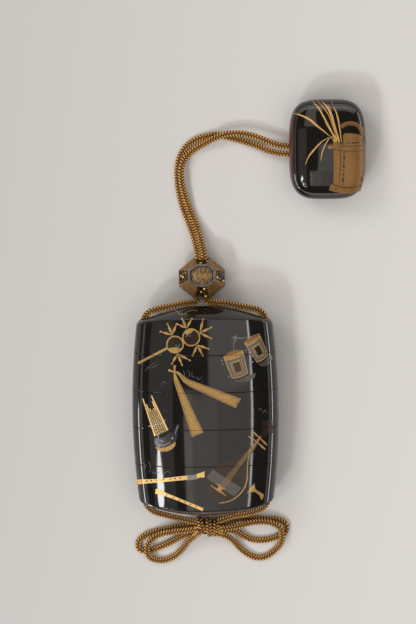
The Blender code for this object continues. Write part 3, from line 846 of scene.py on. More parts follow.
def shrunk(outline, by):
    """The outline drawn in by this much all round, a little more at its corners."""
    sign = 1.0 if area_of(outline) > 0 else -1.0
    points = []
    for i, here in enumerate(outline):
        before, after = Vector(outline[i - 1]), Vector(outline[(i + 1) % len(outline)])
        here = Vector(here)
        first, second = (here - before).normalized(), (after - here).normalized()
        inward = Vector((-first.y - second.y, first.x + second.x)) * sign
        length = max(inward.length, SHARP_CORNER)
        points.append(tuple(here + inward / length * by * min(2.0 / length, CORNER_LIMIT)))
    return points


def inner_lines(outline, inside, width, shortest=8.0):
    """Fine lines just inside the outline's long edges."""
    inner = shrunk(outline, inside)
    lines = []
    for i, here in enumerate(outline):
        after = (i + 1) % len(outline)
        if (Vector(outline[after]) - Vector(here)).length > shortest:
            lines.append(stroke((inner[i], inner[after]), (width, width)))
    return lines


def flat_face(outline):
    """A flat face with this outline, in pixels, on a drawing board. All of them run round the same way."""
    if area_of(outline) > 0:
        outline = outline[::-1]
    deselect_all()
    bpy.ops.mesh.primitive_circle_add(vertices=len(outline), radius=1.0, fill_type="NGON")
    obj = bpy.context.object
    for vert, (px, py) in zip(obj.data.vertices, outline):
        vert.co = (px, -py, 0.0)
    return obj


def slice_mesh(axis, at):
    """Cuts the whole mesh in edit mode along the plane where one coordinate has the value at."""
    spot, facing = [0.0, 0.0, 0.0], [0.0, 0.0, 0.0]
    spot[axis], facing[axis] = at, 1.0
    bpy.ops.mesh.select_all(action="SELECT")
    bpy.ops.mesh.bisect(plane_co=spot, plane_no=facing)


def lay(outlines, height, material, surface, seams):
    """Thin plates with these outlines, laid on the surface and cut through at the seams."""
    plate = joined([flat_face(outline) for outline in outlines], "plate")
    start_editing()
    bpy.ops.mesh.quads_convert_to_tris(ngon_method="CLIP")
    places = np.array([vert[:] for outline in outlines for vert in outline])
    for axis, sign in ((0, 1), (1, -1)):
        low, high = places[:, axis].min(), places[:, axis].max()
        line = math.ceil(low / PICTURE_GRID) * PICTURE_GRID
        while line < high:
            slice_mesh(axis, sign * line)
            line += PICTURE_GRID
    stop_editing()
    facing = None
    for vert in plate.data.vertices:
        point, normal = surface(vert.co.x, -vert.co.y)
        vert.co = point - normal * PICTURE_SINK
        facing = facing or normal
    plate.data.update()
    upside_down = plate.data.polygons[0].normal.dot(facing) < 0
    start_editing()
    if upside_down:
        bpy.ops.mesh.flip_normals()
    ys = [vert.co.y for vert in bmesh.from_edit_mesh(plate.data).verts]
    for seam in seams:
        if min(ys) < seam < max(ys):
            slice_mesh(1, seam - SEAM_LINE / 2)
            slice_mesh(1, seam + SEAM_LINE / 2)
            choose_faces(plate, lambda face: abs(face.calc_center_median().y - seam) < SEAM_LINE / 2)
            bpy.ops.mesh.delete(type="FACE")
    stop_editing()
    plate.data.materials.append(material)
    apply_modifier(plate, "SOLIDIFY", thickness=height + PICTURE_SINK, offset=1.0)
    return plate


def picture(name, surface, paint, layers):
    """A picture of layers, each with outlines, a share of the full height, thin layers under it, a paint."""
    seams = SEAMS if surface is on_case else ()
    plates = [lay(outlines, GOLD_RAISE * share + LAYER * under, paint[kind], surface, seams)
              for outlines, share, under, kind in layers]
    piece = joined(plates, name)
    shade(piece, 40)
    finish_piece(piece)


def petal(root, tip):
    """A spindle with a small ball at its tip."""
    reach = [(root[0] + (tip[0] - root[0]) * t, root[1] + (tip[1] - root[1]) * t) for t in (0, 0.5, 1)]
    return [stroke(reach, (0.7, 1.0, 2.1, 2.7, 1.9, 1.0, 0.8)), disc(tip, 1.0, 12)]


def rattle_picture(paint):
    """A pair of bells on a handle, with petals round them."""
    left, right = (175, 344.5), (191.2, 337.3)
    left_radius, right_radius = 8.9, 9.1
    fans = (
        ((172, 335), ((160.6, 331.6), (167.6, 323.9), (176.6, 323.9))),
        ((177.4, 353.6), ((172.1, 363.6), (182.1, 365.1), (189.8, 360.3))),
        ((186.4, 328.2), ((177.6, 324.2), (182.1, 318.6), (192, 318.6))),
        ((199.8, 333), ((203.2, 319), (211.3, 327.3), (211.1, 338.3))),
        ((197.4, 345), ((192.7, 355.5), (202.7, 355.5), (208.4, 348.8))),
    )
    gold = [disc(left, left_radius), disc(right, right_radius)]
    gold += [stroke(((166.8, 348.3), (139.6, 362.5)), (2.4, 2, 2.2)), disc((139.4, 362.6), 1.5, 12)]
    for root, tips in fans:
        for tip in tips:
            gold += petal(root, tip)
    brown = [disc(left, left_radius - 1.4), disc(right, right_radius - 1.4)]
    lens = [
        [(168, 348.6), (171.5, 347.6), (175.5, 347.2), (179.5, 347.8), (182.2, 349.3), (179, 352.6),
         (175, 353.6), (170.9, 352.4)],
        [(183.9, 333.4), (186, 330.6), (189.5, 328.9), (194.2, 328.8), (192.6, 331.6), (189.6, 333.8),
         (186.5, 334.6)],
    ]
    dots = [disc(spot, 0.55, 8) for spot in (
        (179.4, 345.2), (176.2, 345.4), (178, 346.6), (187.6, 335.3), (190.2, 335.9), (185.9, 336.3))]
    picture("rattle_picture", on_case, paint, (
        (gold, 1, 0, "gold"),
        (brown, 1, 1, "brown"),
        (lens, 1, 2, "gold"),
        (dots, 1, 2, "shell"),
    ))


def clapper_picture(paint):
    """Two long tapering clappers tied at their narrow ends."""
    left = [(173.4, 374), (175.7, 373.6), (178.3, 379.6), (203.4, 432.3), (192.6, 436.9), (191.6, 436.2),
            (177, 391), (174, 381)]
    right = [(178.2, 371.3), (181, 373.6), (187.6, 379), (241.1, 398.8), (235.5, 407.9), (190, 386.8),
             (183, 381.6), (179, 375.6), (176.9, 373.4)]
    ties = [
        stroke(((169.2, 370.3), (174.6, 371.9), (178.6, 372.6)), (2.2, 1.6, 2.2)),
        disc((169.4, 370.3), 1.3, 12),
        stroke(((174.7, 366), (174.5, 370), (174.6, 374.6)), (2, 1.8, 1.6)),
        disc((174.7, 366.4), 1.4, 12),
    ]
    picture("clapper_picture", on_case, paint, (
        ([left, right] + ties, 1, 0, "gold"),
        (inner_lines(left, 1.1, 0.45) + inner_lines(right, 1.1, 0.45), 1, 1, "line"),
    ))


def drum_layers(corners):
    """The plates of one drum; corners are its top left, top right, bottom right and bottom left."""
    a, b, c, d = (Vector(p) for p in corners)

    def at(s, t, bulge=0.0):
        point = (a * (1 - s) + b * s) * (1 - t) + (d * (1 - s) + c * s) * t
        fall = (d - a).normalized() * bulge * 4 * s * (1 - s)
        return tuple(point + fall)

    def panel(left, right, top, bottom, bulge_top=0.0, bulge_bottom=1.4, steps=6):
        upper = [at(left + (right - left) * i / steps, top, bulge_top) for i in range(steps + 1)]
        lower = [at(right - (right - left) * i / steps, bottom, bulge_bottom) for i in range(steps + 1)]
        return upper + lower

    gold = [panel(0, 1, 0.02, 1, -2)]
    body = [panel(0.055, 0.945, 0.19, 0.955, 1.5)]
    frames = [panel(0.20, 0.82, 0.31, 0.88, 0.7, 0.9)]
    border = [panel(0.245, 0.775, 0.345, 0.85, 0.7, 0.9)]
    studs = []
    for i in range(8):
        t = 0.39 + 0.42 * i / 7
        studs += [disc(at(0.30, t), 0.42, 6), disc(at(0.715, t), 0.42, 6)]
    for i in range(1, 6):
        s = 0.30 + 0.415 * i / 6
        studs += [disc(at(s, 0.385), 0.42, 6), disc(at(s, 0.81, 0.9), 0.42, 6)]
    middle = [panel(0.36, 0.655, 0.43, 0.765, 0.5, 0.6)]
    hatch = [stroke((at(s, 0.03, -1.4), at(s + 0.03, 0.15, 1)), (0.4, 0.3)) for s in (0.2, 0.38, 0.62, 0.82)]
    return gold, body, frames, border, studs, middle, hatch


def drum_picture(paint):
    """A pair of hand drums tied together, with their shadows."""
    shadows = [
        [(233.9, 379.9), (240, 379.6), (248.6, 375.4), (255.9, 373), (254.5, 377.6), (248, 381.4),
         (240.5, 382.5), (235.6, 381.6)],
        [(258.6, 363.9), (263.6, 361.4), (268.9, 356.3), (271.8, 354.6), (272.4, 359), (269.4, 364),
         (264.6, 366.6), (260.6, 366.4)],
    ]
    left = drum_layers(((222.8, 356.6), (242.9, 349.9), (248.1, 373), (231.9, 378.6)))
    right = drum_layers(((243.8, 343), (259.1, 332.9), (268.2, 354.5), (256.8, 362.6)))
    caps = [shrunk(lens, 0.5) for lens in (
        [(223.8, 356), (229, 351.6), (236, 349.2), (242.2, 350.2), (241.8, 351.2), (236.5, 354), (231, 355.6),
         (224.2, 357)],
        [(244.6, 342.8), (249.6, 337.2), (256.2, 333.2), (259.6, 333.9), (259.8, 335.4), (253.5, 339.8),
         (248, 343.2), (245.2, 344.4)])]
    gold, body, frames, border, studs, middle, hatch = (one + other for one, other in zip(left, right))
    ties = [
        stroke(((231, 338.2), (236, 337.6), (242, 338.4), (248.6, 336.6)), (0.6, 0.9, 0.6, 0.5)),
        stroke(((235.6, 335), (235.4, 339), (233.6, 344), (234, 350.4)), (0.6, 0.8, 0.6, 0.5)),
        stroke(((233, 336), (236.4, 340.6)), (0.6, 0.6)),
    ]
    pegs = [disc(spot, 0.8, 8) for spot in (
        (221.6, 360.4), (222.9, 364), (228.6, 376.8), (245.9, 350.2), (252.8, 361.8), (250.5, 352))]
    picture("drum_picture", on_case, paint, (
        (shadows, 0.5, 0, "shadow"),
        (gold, 1, 0, "gold"),
        (caps, 1, 1, "gold_deep"),
        (hatch, 1, 2, "line"),
        (body, 1, 1, "slate"),
        (frames, 1, 2, "gold"),
        (border, 1, 3, "line"),
        (studs, 1, 4, "gold_bright_and_glint"),
        (middle, 1, 4, "brown"),
        (ties + pegs, 0.6, 0, "silver"),
    ))


def mouth_organ_picture(paint):
    """A bundle of pipes standing in a bowl."""
    foot_left, foot_right = Vector((154.2, 436.6)), Vector((168.7, 429.9))
    top_left, top_right = Vector((142.2, 398.8)), Vector((152.2, 395.4))
    cuts = (0, 0.16, 0.30, 0.36, 0.33, 0.14, 0)
    pipes, edges = [], []
    for number, short in enumerate(cuts):
        share = (number + 0.5) / len(cuts)
        foot = foot_left.lerp(foot_right, share)
        top = top_left.lerp(top_right, share)
        end = top.lerp(foot, short)
        edge = number in (0, len(cuts) - 1)
        widths = (1.6, 1.1) if edge else (1.4, 0.9)
        (edges if edge else pipes).append(stroke((tuple(foot), tuple(end)), widths))
    grain = []
    for row in range(14):
        share = 0.03 + 0.044 * row
        start = foot_left.lerp(top_left, share)
        end = foot_right.lerp(top_right, share)
        grain.append(stroke((tuple(start.lerp(end, 0.03)), tuple(start.lerp(end, 0.86))), (0.8, 0.8)))
    shine = [stroke(((157, 444.6), (163, 445.4), (170, 442.6)), (0.5, 1.1, 0.5)),
             stroke(((160, 440.2), (164, 441.6)), (0.6, 0.8)), disc((172.4, 438.2), 1.1, 8),
             stroke(((175.4, 434), (176.6, 428.6), (178.6, 425.4)), (0.4, 0.7, 0.5)),
             stroke(((156.4, 441.4), (157.4, 444.6)), (0.9, 0.6))]
    band = [stroke(((148.8, 426.2), (156, 425.2), (165.3, 419.8)), (1.6, 1.5, 1.5))]
    bowl = [[(154, 437.6), (158.5, 439), (164.5, 436.8), (169.6, 432.6), (173.6, 432.4), (175.6, 427.4),
             (177.2, 424.2), (179, 424.6), (178.9, 427.6), (177.6, 431.6), (177, 437.6), (175.4, 442),
             (170, 445.2), (163.6, 447.2), (157, 447.2), (154.4, 443)]]
    crescent = [[(155.3, 446.6), (160, 448), (166, 447.2), (171, 444.8), (175.6, 441.8), (175.4, 445.4),
                 (172, 449.2), (166.8, 451.4), (161.4, 451.6), (157.2, 449.6)]]
    picture("mouth_organ_picture", on_case, paint, (
        (pipes, 1, 0, "gold_bright_and_glint"),
        (edges, 1, 2, "gold_bright_and_glint"),
        (grain, 1, 1, "line"),
        (band, 1, 2, "silver"),
        (bowl, 0.5, 0, "silver_dark"),
        (shine, 0.5, 1, "silver"),
        (crescent, 1, 0, "gold"),
    ))


def lute_picture(paint):
    """A pear-shaped lute with its strings, pegs and bent peg box."""
    body = [bent_line([(249.8, 449.6), (235.2, 457.5), (222, 463.6), (212.6, 469.6), (206.2, 477.2),
                       (204, 484), (205.6, 491.6), (211.4, 498.8), (219.9, 503), (229.4, 500.8),
                       (238.4, 495), (244.6, 486.6), (247.4, 477), (248.4, 465), (250.6, 455.4),
                       (253.6, 449.2)], 3)]
    band = [[(213.2, 469.6), (206.4, 477.2), (211, 481.4), (222, 488.6), (234.3, 496.6), (241.5, 488.1),
             (230, 480.4), (219, 473.6)]]
    neck = [[(248.4, 451.6), (259.6, 436.2), (262, 433), (264.4, 434.4), (262.6, 437.6), (252, 453.2)]]
    peg_box = [[(262, 433.8), (262.2, 421.2), (266, 420.2), (272.3, 418.8), (273, 433.2), (267, 433.6),
                (264, 437.2)]]
    edge = [stroke(((219, 503.2), (227.6, 501.6), (235.2, 498), (241.4, 492.2), (245.4, 485.4),
                    (247.2, 477.5), (247.4, 468), (248.2, 459), (250.6, 453)), (0.8, 1.3, 1.3, 1, 0.7)),
            stroke(((248.8, 452.6), (255, 444), (260.6, 436)), (0.8, 0.9))]
    strings = [stroke((low, high), (0.34, 0.30)) for low, high in (
        ((220.4, 484.4), (259, 437.5)), ((221.8, 485.4), (259.4, 437.9)),
        ((223.2, 486.4), (259.8, 438.3)), ((224.6, 487.4), (260.2, 438.7)))]
    bridge = [stroke(((210.9, 485.4), (213.6, 487.4), (216.4, 489), (220.6, 491.6), (222.8, 493.2),
                      (225.6, 495.8)), (1.1, 0.9, 1.9, 2.4, 0.9, 1.1)),
              [(217.4, 483.2), (219.6, 484.4), (222, 487), (224.6, 488), (225.2, 489.6), (222.2, 489.4),
               (220.4, 491.6), (216.6, 489.2), (218.8, 486.2), (216.8, 484.4)]]
    pegs = [stroke(((248.2, 436), (252, 438.4), (257.4, 442.4), (265.2, 449.6)), (0.9, 1.6, 1, 1, 2.4, 1.2)),
            stroke(((252.2, 431.2), (256, 434.6), (261, 439.2), (267, 445.2)), (1, 1.8, 1, 1, 2.4, 1.2))]
    picture("lute_picture", on_case, paint, (
        (body, 0.4, 0, "brown"),
        (neck + peg_box, 0.4, 0, "brown"),
        (band, 0.4, 1, "slate_dark"),
        (edge + bridge, 1, 0, "gold"),
        (strings, 1, 1, "gold"),
        (pegs, 1, 2, "gold"),
    ))


def plectrum_picture(paint):
    """The lute's fan-shaped plectrum."""
    fan = [bent_line([(254.8, 483.2), (254.9, 487.6), (257.2, 490.6), (260.4, 492.4), (263.6, 494.6),
                      (263, 497.8), (261.2, 500), (260, 496.4), (257, 493.2), (253.2, 491.8),
                      (247, 493.4), (250.4, 488), (254.6, 483.3)], 3)]
    # A painted highlight along the plectrum's head.
    shine = [stroke(((253.4, 485.4), (251.4, 488.6), (249.4, 491.4)), (0.5, 1.3, 0.6))]
    picture("plectrum_picture", on_case, paint, ((fan, 1, 0, "gold"), (shine, 1, 1, "gold_bright_and_glint")))


def flute_pictures(paint):
    """A straight flute with a bell end above, a slender one with a flared mouth below."""
    upper = [stroke(((136.6, 482), (158.7, 480.6), (177.8, 478.6), (196.2, 476.6)), (5, 3.6, 3.9, 4.6)),
             [(196.6, 474), (201, 472.6), (204.4, 471.4), (204.6, 477.4), (200, 477.4), (196.8, 478.4)]]
    sleeve = [[(187.6, 475.2), (196, 474.4), (196.4, 479.2), (188.2, 480.4)]]
    rings = [
        stroke(((187.4, 475.2), (188, 480.4)), (0.7, 0.7)),
        stroke(((196.2, 473.8), (196.8, 479.2)), (0.8, 0.8)),
        stroke(((141.6, 479.8), (141.8, 483.8)), (0.6, 0.6)),
    ]
    upper_holes = [disc((px, 482.0 - 0.091 * (px - 136.6)), 0.8, 8)
                   for px in (147, 151.6, 156.2, 163.6, 170.2, 175.2, 180.2)]
    lower = [stroke(((155.6, 491.2), (158.6, 491.8), (164, 493.8), (178, 499.2), (190, 504.2), (203, 509.6)),
                    (5.4, 3.4, 2.7, 2.7, 2.9, 3.2))]
    lower_holes = [disc((px, 493.8 + 0.402 * (px - 164)), 0.75, 8)
                   for px in (166.5, 173.5, 179.5, 185, 190.5, 196)]
    # The flutes are laid in the bright gold, partly as a painted glint.
    picture("flute_pictures", on_case, paint, (
        (upper + lower, 1, 0, "gold_bright_and_glint"),
        (sleeve, 1, 1, "silver"),
        (rings, 1, 2, "gold"),
        (upper_holes + lower_holes, 1, 1, "line"),
    ))


def worn_touches(paint):
    """Faint rubbed touches of silver between the instruments."""
    marks = []
    for points in (
            ((145, 371), (149, 366.4), (155, 362.6)), ((148, 368.6), (153, 367), (158.6, 364.4)),
            ((183, 370), (184.6, 374.6), (183.6, 378.6)), ((187, 369.4), (189.6, 374), (188, 378)),
            ((192.4, 371.6), (191.8, 375.8), (195.6, 378.2)),
            ((196.8, 376.2), (198.4, 379.6), (201.4, 377.4)),
            ((161, 384), (163.4, 382), (166.6, 383.6)), ((160.6, 386.4), (164, 385)),
            ((258, 410.4), (260.4, 408.4), (262.6, 411.4)), ((262.8, 414), (265, 410.2), (267, 413.6)),
            ((141, 462), (145, 466), (143.6, 470.4)), ((147.6, 460.6), (150.6, 466.4), (149, 472.6)),
            ((150.6, 470.6), (156, 473.6), (160.6, 471.6)), ((163.6, 474), (168, 471), (171, 474))):
        marks.append(stroke(points, (0.25, 0.8, 0.25)))
    picture("worn_touches", on_case, paint, ((marks, 0.3, 0, "faint"),))


def ribbon_picture(paint, lid):
    """A slender waving line on the lid's top."""
    line = [stroke(((158.9, 313.3), (164, 312.6), (169.6, 311), (174.6, 309.8), (177.4, 311.6),
                    (179.9, 314.3), (183.6, 314.2), (187.6, 312), (191, 310.4), (197.6, 310.6)),
                   (0.5, 0.7, 0.9, 0.7, 0.4))]
    picture("ribbon_picture", surface_of(lid), paint, ((line, 0.5, 0, "tan"),))


# The toggle


def netsuke_point(direction):
    """The toggle's surface in this direction from its middle."""
    power = NETSUKE_PLAN_SQUARENESS
    x, y, z = (abs(value) for value in direction)
    plan = (x ** power + y ** power) ** (1 / power)
    grown = (plan ** NETSUKE_SIDE_SQUARENESS + z ** NETSUKE_SIDE_SQUARENESS) ** (1 / NETSUKE_SIDE_SQUARENESS)
    deep = NETSUKE_HALF.z + (NETSUKE_BACK_FLAT if direction[2] < 0 else 0.0)
    tall = deep * direction[2] / grown
    return Vector((NETSUKE_CENTRE.x + NETSUKE_HALF.x * direction[0] / grown,
                   NETSUKE_CENTRE.y + NETSUKE_HALF.y * direction[1] / grown,
                   max(NETSUKE_CENTRE.z + tall, 0.0)))


def make_netsuke(lacquer):
    """A cube cut fine and swelled to a rounded box, drilled for the cord."""
    deselect_all()
    bpy.ops.mesh.primitive_cube_add(size=2.0)
    toggle = bpy.context.object
    toggle.name = "lacquer_netsuke"
    start_editing()
    bpy.ops.mesh.subdivide(number_cuts=NETSUKE_CUTS)
    stop_editing()
    for vert in toggle.data.vertices:
        vert.co = netsuke_point([math.sin(value * math.pi / 4) / math.sin(math.pi / 4) for value in vert.co])
    line = smooth_curve(CORD_ROUTE)
    inside = np.nonzero(line[:, 0] > NETSUKE_CENTRE.x - NETSUKE_HALF.x)[0]
    line = line[inside[0] - 12:inside[-1] + 12:4]
    rings = [[Vector(line[0])]]
    for here, way in zip(line, np.gradient(line, axis=0)):
        side = Vector(way).cross(Vector((0, 0, 1))).normalized()
        rings.append([Vector(here) + side * x + Vector((0, 0, z)) for x, z in round_section(
            BRAID_HALF_WIDTH + TUNNEL_ROOM, BRAID_HALF_THICKNESS + TUNNEL_HEADROOM, ROUND, 24)])
    tunnel = loft("tunnel", rings + [[Vector(line[-1])]])
    cut(toggle, tunnel)
    drop(tunnel)
    coat(toggle, lacquer)
    shade(toggle, 35)
    finish_piece(toggle, "netsuke")


def basket_picture(paint):
    """A tall basket that runs round the toggle's side, with leaves of grass behind it."""
    side = [(364, 143.6), (364.5, 150), (364.6, 160), (364.3, 170), (363.3, 180), (361.4, 188)]
    body = [[(332.8, 143), (337, 142.6), (343, 144.8), (352, 145), (365, 143.4)] + side
            + [(356.6, 192.2), (346, 193.4), (336, 192), (330.2, 190.6), (329.4, 188.4), (330.6, 184.6),
               (333.4, 184.4), (333.9, 165), (333.4, 150)]]
    neck = [[(343.4, 143), (342.8, 135.6), (345, 133.2), (350, 133.4), (356, 133.8), (361.4, 135.4),
             (362.2, 142)]]
    rim = [stroke(((332.4, 146), (340, 148), (350, 149.2), (358, 149.2), (363.8, 147.4)), (4.6, 4.4, 4.4)),
           stroke(((343.2, 143.8), (352, 144.4), (363.4, 142.7)), (1.6, 1.6))]
    foot = [stroke(((329.8, 187.4), (338, 189.6), (350, 190.8), (360, 188)), (5.6, 5.6, 5.4, 5))]
    handle = [stroke(((341.2, 127.4), (345, 124.4), (351, 123.2), (357, 125), (361.4, 130), (363.4, 136.6),
                      (364, 143.6)), (3.8, 3.9, 3.9, 3.8))]
    dark = [stroke(((341.6, 127.6), (345.4, 124.9), (351, 123.6), (356.8, 125.4), (361, 130.2), (363, 136.8),
                    (363.6, 142.4)), (0.5, 0.6, 0.5)),
            stroke(((332.8, 148.6), (340, 150.4), (350, 151.4), (358, 151.2), (363.8, 149.4)), (0.8, 0.7)),
            stroke(((343.4, 145.6), (352, 146.6), (363.4, 144.9)), (0.7, 0.5)),
            stroke(((333.4, 184.6), (340, 186.6), (350, 187.6), (361.4, 185.5)), (0.8, 0.6)),
            stroke(((339.2, 142.8), (340.3, 152), (340.4, 168), (339, 185.4)), (0.6, 0.8, 0.6)),
            disc((342, 146.4), 0.9, 10), disc((335.8, 188.8), 0.9, 10), disc((345, 187.4), 0.8, 10)]
    dashes = []
    for top, bottom, width in ((151.8, 153, 1.6), (155, 159.6, 1.9), (161.6, 163, 1.4), (164.4, 168, 1.9),
                               (169.6, 171.4, 1.5), (173.2, 175.6, 1.8), (177.4, 182.6, 2), (184, 185, 1.8)):
        lean = (168.0 - top) * 0.05
        dashes.append(stroke(((343.6 + lean, top), (343.4 + lean, bottom)), (width, width)))
    picture("basket_picture", on_netsuke, paint, (
        (body + neck, 1, 0, "gold_deep"),
        (rim + foot, 1, 2, "gold_deep"),
        (handle, 1, 1, "gold_deep"),
        (dark + dashes, 1, 3, "line"),
    ))


def grass_picture(paint):
    """A tuft of slender leaves that spring from the basket, and a small blossom."""
    blades = []
    for points, widths in (
            (((292.8, 113.2), (300, 115), (309, 119.2), (319, 127.4), (329.8, 136)),
             (0.5, 2, 2.9, 2.7, 1.6, 0.8)),
            (((305.4, 164.4), (309, 156.2), (314.6, 149.2), (321, 142.4), (328.6, 137.4)),
             (0.7, 1.2, 2.2, 1.8, 1.1, 0.6)),
            (((320.6, 161.2), (322.2, 152.6), (325.2, 144.8), (329.4, 138.4), (332.6, 136)),
             (0.4, 1.3, 1.5, 1.2, 0.6)),
            (((312.6, 101.8), (319, 108.6), (323.6, 116.8), (329.4, 127.4), (335.2, 138)),
             (0.5, 2, 2.2, 1.7, 0.8)),
            (((317.6, 101.4), (324.6, 109), (330.2, 119), (337, 139.6)), (0.5, 1, 0.9, 0.5)),
            (((321.6, 101.8), (326.8, 106.6), (330.6, 114.4), (334.2, 126), (338.4, 140)),
             (0.5, 2, 2.4, 2.1, 1.5, 0.8)),
            (((328.4, 105.4), (332, 115), (335.6, 128), (339.2, 139.6)), (0.5, 1.4, 1.1, 0.5)),
            (((333.6, 106.6), (336.6, 113.6), (339, 124), (340.6, 135), (341.4, 142)),
             (0.5, 2, 1.9, 1.4, 0.7)),
            (((324.8, 121.6), (330.6, 131), (335.4, 139)), (0.4, 1.5, 0.6)),
            (((331.2, 101), (332.6, 104.6)), (0.5, 1.2, 0.4))):
        blades.append(stroke(points, [width * BLADE_FINENESS for width in widths]))
    fans = []
    rng = random.Random(4)
    for _ in range(16):
        foot = (334.0 + 6.0 * rng.random(), 141.6 + 1.6 * rng.random())
        tip = (foot[0] - 5.0 + 5.4 * rng.random(), 134.6 + 3.4 * rng.random())
        fans.append(stroke((foot, tip), (0.5, 0.6, 0.3)))
    blossom = [disc((330.0 + 1.3 * math.cos(turn), 147.0 + 1.5 * math.sin(turn)), 0.85, 10)
               for turn in (0.4, 1.9, 3.4, 5.2)]
    picture("grass_picture", on_netsuke, paint, (
        (blades, 1, 1, "grass"),
        (fans, 1, 2, "grass"),
        (blossom, 1, 0, "gold"),
    ))


# The bead


def bead_ring(z, sizes):
    """One eight-cornered ring of the bead at this height, from its width, length and short side."""
    x, y, s = (size / 2 for size in sizes)
    corners = ((x, s), (s, y), (-s, y), (-x, s), (-x, -s), (-s, -y), (s, -y), (x, -s))
    return [BEAD_CENTRE + Vector((cx, cy, z)) for cx, cy in corners]


def tilted(bead_piece):
    """The bead leans on its cord: its front face looks a little towards the lid."""
    to_middle = Matrix.Translation(BEAD_CENTRE)
    bead_piece.data.transform(to_middle @ Matrix.Rotation(-BEAD_TILT, 4, "X") @ to_middle.inverted())


def make_bead(gilt, flaked, ringed, groove):
    """An eight-sided double taper: facets black and flaked or plain gilt by turns, and two framed ovals."""
    half = BEAD_SIZE.z / 2
    face, belt = (*BEAD_FACE.xy, BEAD_FACE_SIDE), (*BEAD_SIZE.xy, BEAD_SIDE)
    bead = loft("gilt_ojime_bead", [
        [BEAD_CENTRE - Vector((0, 0, half))],
        bead_ring(-half, face),
        bead_ring(-BEAD_BAND / 2, belt),
        bead_ring(BEAD_BAND / 2, belt),
        bead_ring(half, face),
        [BEAD_CENTRE + Vector((0, 0, half))],
    ])
    coat(bead, gilt, flaked, ringed, groove)

    def flat(face):
        return abs(face.normal.z) > 0.99

    def square_on(face):
        return min(abs(face.normal.x), abs(face.normal.y)) < 0.05 and 0.1 < abs(face.normal.z) < 0.99

    start_editing(bead)
    bpy.ops.mesh.select_mode(type="FACE")
    choose_faces(bead, flat)
    coat_chosen(bead, 2)
    choose_faces(bead, square_on)
    bpy.ops.mesh.inset(thickness=FACET_FRAME, use_individual=True)
    bpy.ops.mesh.extrude_region_shrink_fatten(TRANSFORM_OT_shrink_fatten={"value": -FACET_DEPTH})
    coat_chosen(bead, 1)
    choose_faces(bead, flat)
    bpy.ops.mesh.dissolve_faces()
    bpy.ops.mesh.inset(thickness=FACE_FRAME)
    bpy.ops.mesh.extrude_region_shrink_fatten(TRANSFORM_OT_shrink_fatten={"value": -FACE_DEPTH})
    coat_chosen(bead, 3)
    stop_editing()
    apply_modifier(
        bead, "BEVEL", width=BEAD_BEVEL, segments=2, limit_method="ANGLE", angle_limit=math.radians(20))
    tilted(bead)

    reach = BEAD_SIZE.y / 2
    hole = [[BEAD_CENTRE + Vector((0, -reach - MM, 0))]]
    for y, wider in ((-reach - MM, BEAD_MOUTH), (-reach + BEAD_MOUTH_DEPTH, 0.0),
                     (reach - BEAD_MOUTH_DEPTH, 0.0), (reach + MM, BEAD_MOUTH)):
        hole.append([BEAD_CENTRE + Vector((x, y, z)) for x, z in round_section(
            BEAD_HOLE_WIDTH / 2 + wider, BEAD_HOLE_HEIGHT / 2 + wider, BEAD_HOLE_SQUARENESS, 32)])
    hole.append([BEAD_CENTRE + Vector((0, reach + MM, 0))])
    cutter = loft("bead_hole", hole)
    cut(bead, cutter)
    drop(cutter)
    shade(bead, 30)
    finish_piece(bead, "ojime_bead")


def make_medallion(name, sign, rim, granular):
    """A low oval of gold grains in a fine frame, let into one face of the bead."""
    middle = BEAD_CENTRE + Vector((0, 0, sign * (BEAD_SIZE.z / 2 - MEDALLION_SINK)))
    width, height, rise = MEDALLION_HALF
    deselect_all()
    bpy.ops.mesh.primitive_torus_add(
        major_segments=64, minor_segments=10, major_radius=1.0, minor_radius=0.045)
    edge = bpy.context.object
    for vert in edge.data.vertices:
        x, y, z = vert.co
        vert.co = middle + Vector((x * width, y * height, z * EDGE_HEIGHT + sign * EDGE_RISE))
    coat(edge, rim)
    bpy.ops.mesh.primitive_uv_sphere_add(segments=48, ring_count=24, radius=1.0)
    dome = bpy.context.object
    for vert in dome.data.vertices:
        x, y, z = vert.co
        vert.co = middle + Vector((x * width, y * height, z * rise))
    coat(dome, granular)
    parts = [edge, dome]
    bpy.ops.mesh.primitive_torus_add(major_segments=10, minor_segments=5, major_radius=1.0, minor_radius=0.38)
    curl = bpy.context.object
    coat(curl, rim)
    rng = random.Random(7)
    for ring, count in ((0.0, 1), (0.36, 6), (0.70, 11)):
        for i in range(count):
            angle = 2 * math.pi * (i + 0.5 * ring) / count
            size = (0.36 + 0.12 * rng.random()) * MM
            spot = middle + Vector((ring * math.cos(angle) * width, ring * math.sin(angle) * height,
                                    sign * rise * math.sqrt(1 - ring ** 2)))
            knob = copy_of(curl)
            knob.data.transform(Matrix.Translation(spot) @ Matrix.Diagonal((size, size, size * 0.6, 1.0)))
            parts.append(knob)
    drop(curl)
    medallion = joined(parts, name)
    tilted(medallion)
    shade(medallion, 60)
    finish_piece(medallion)


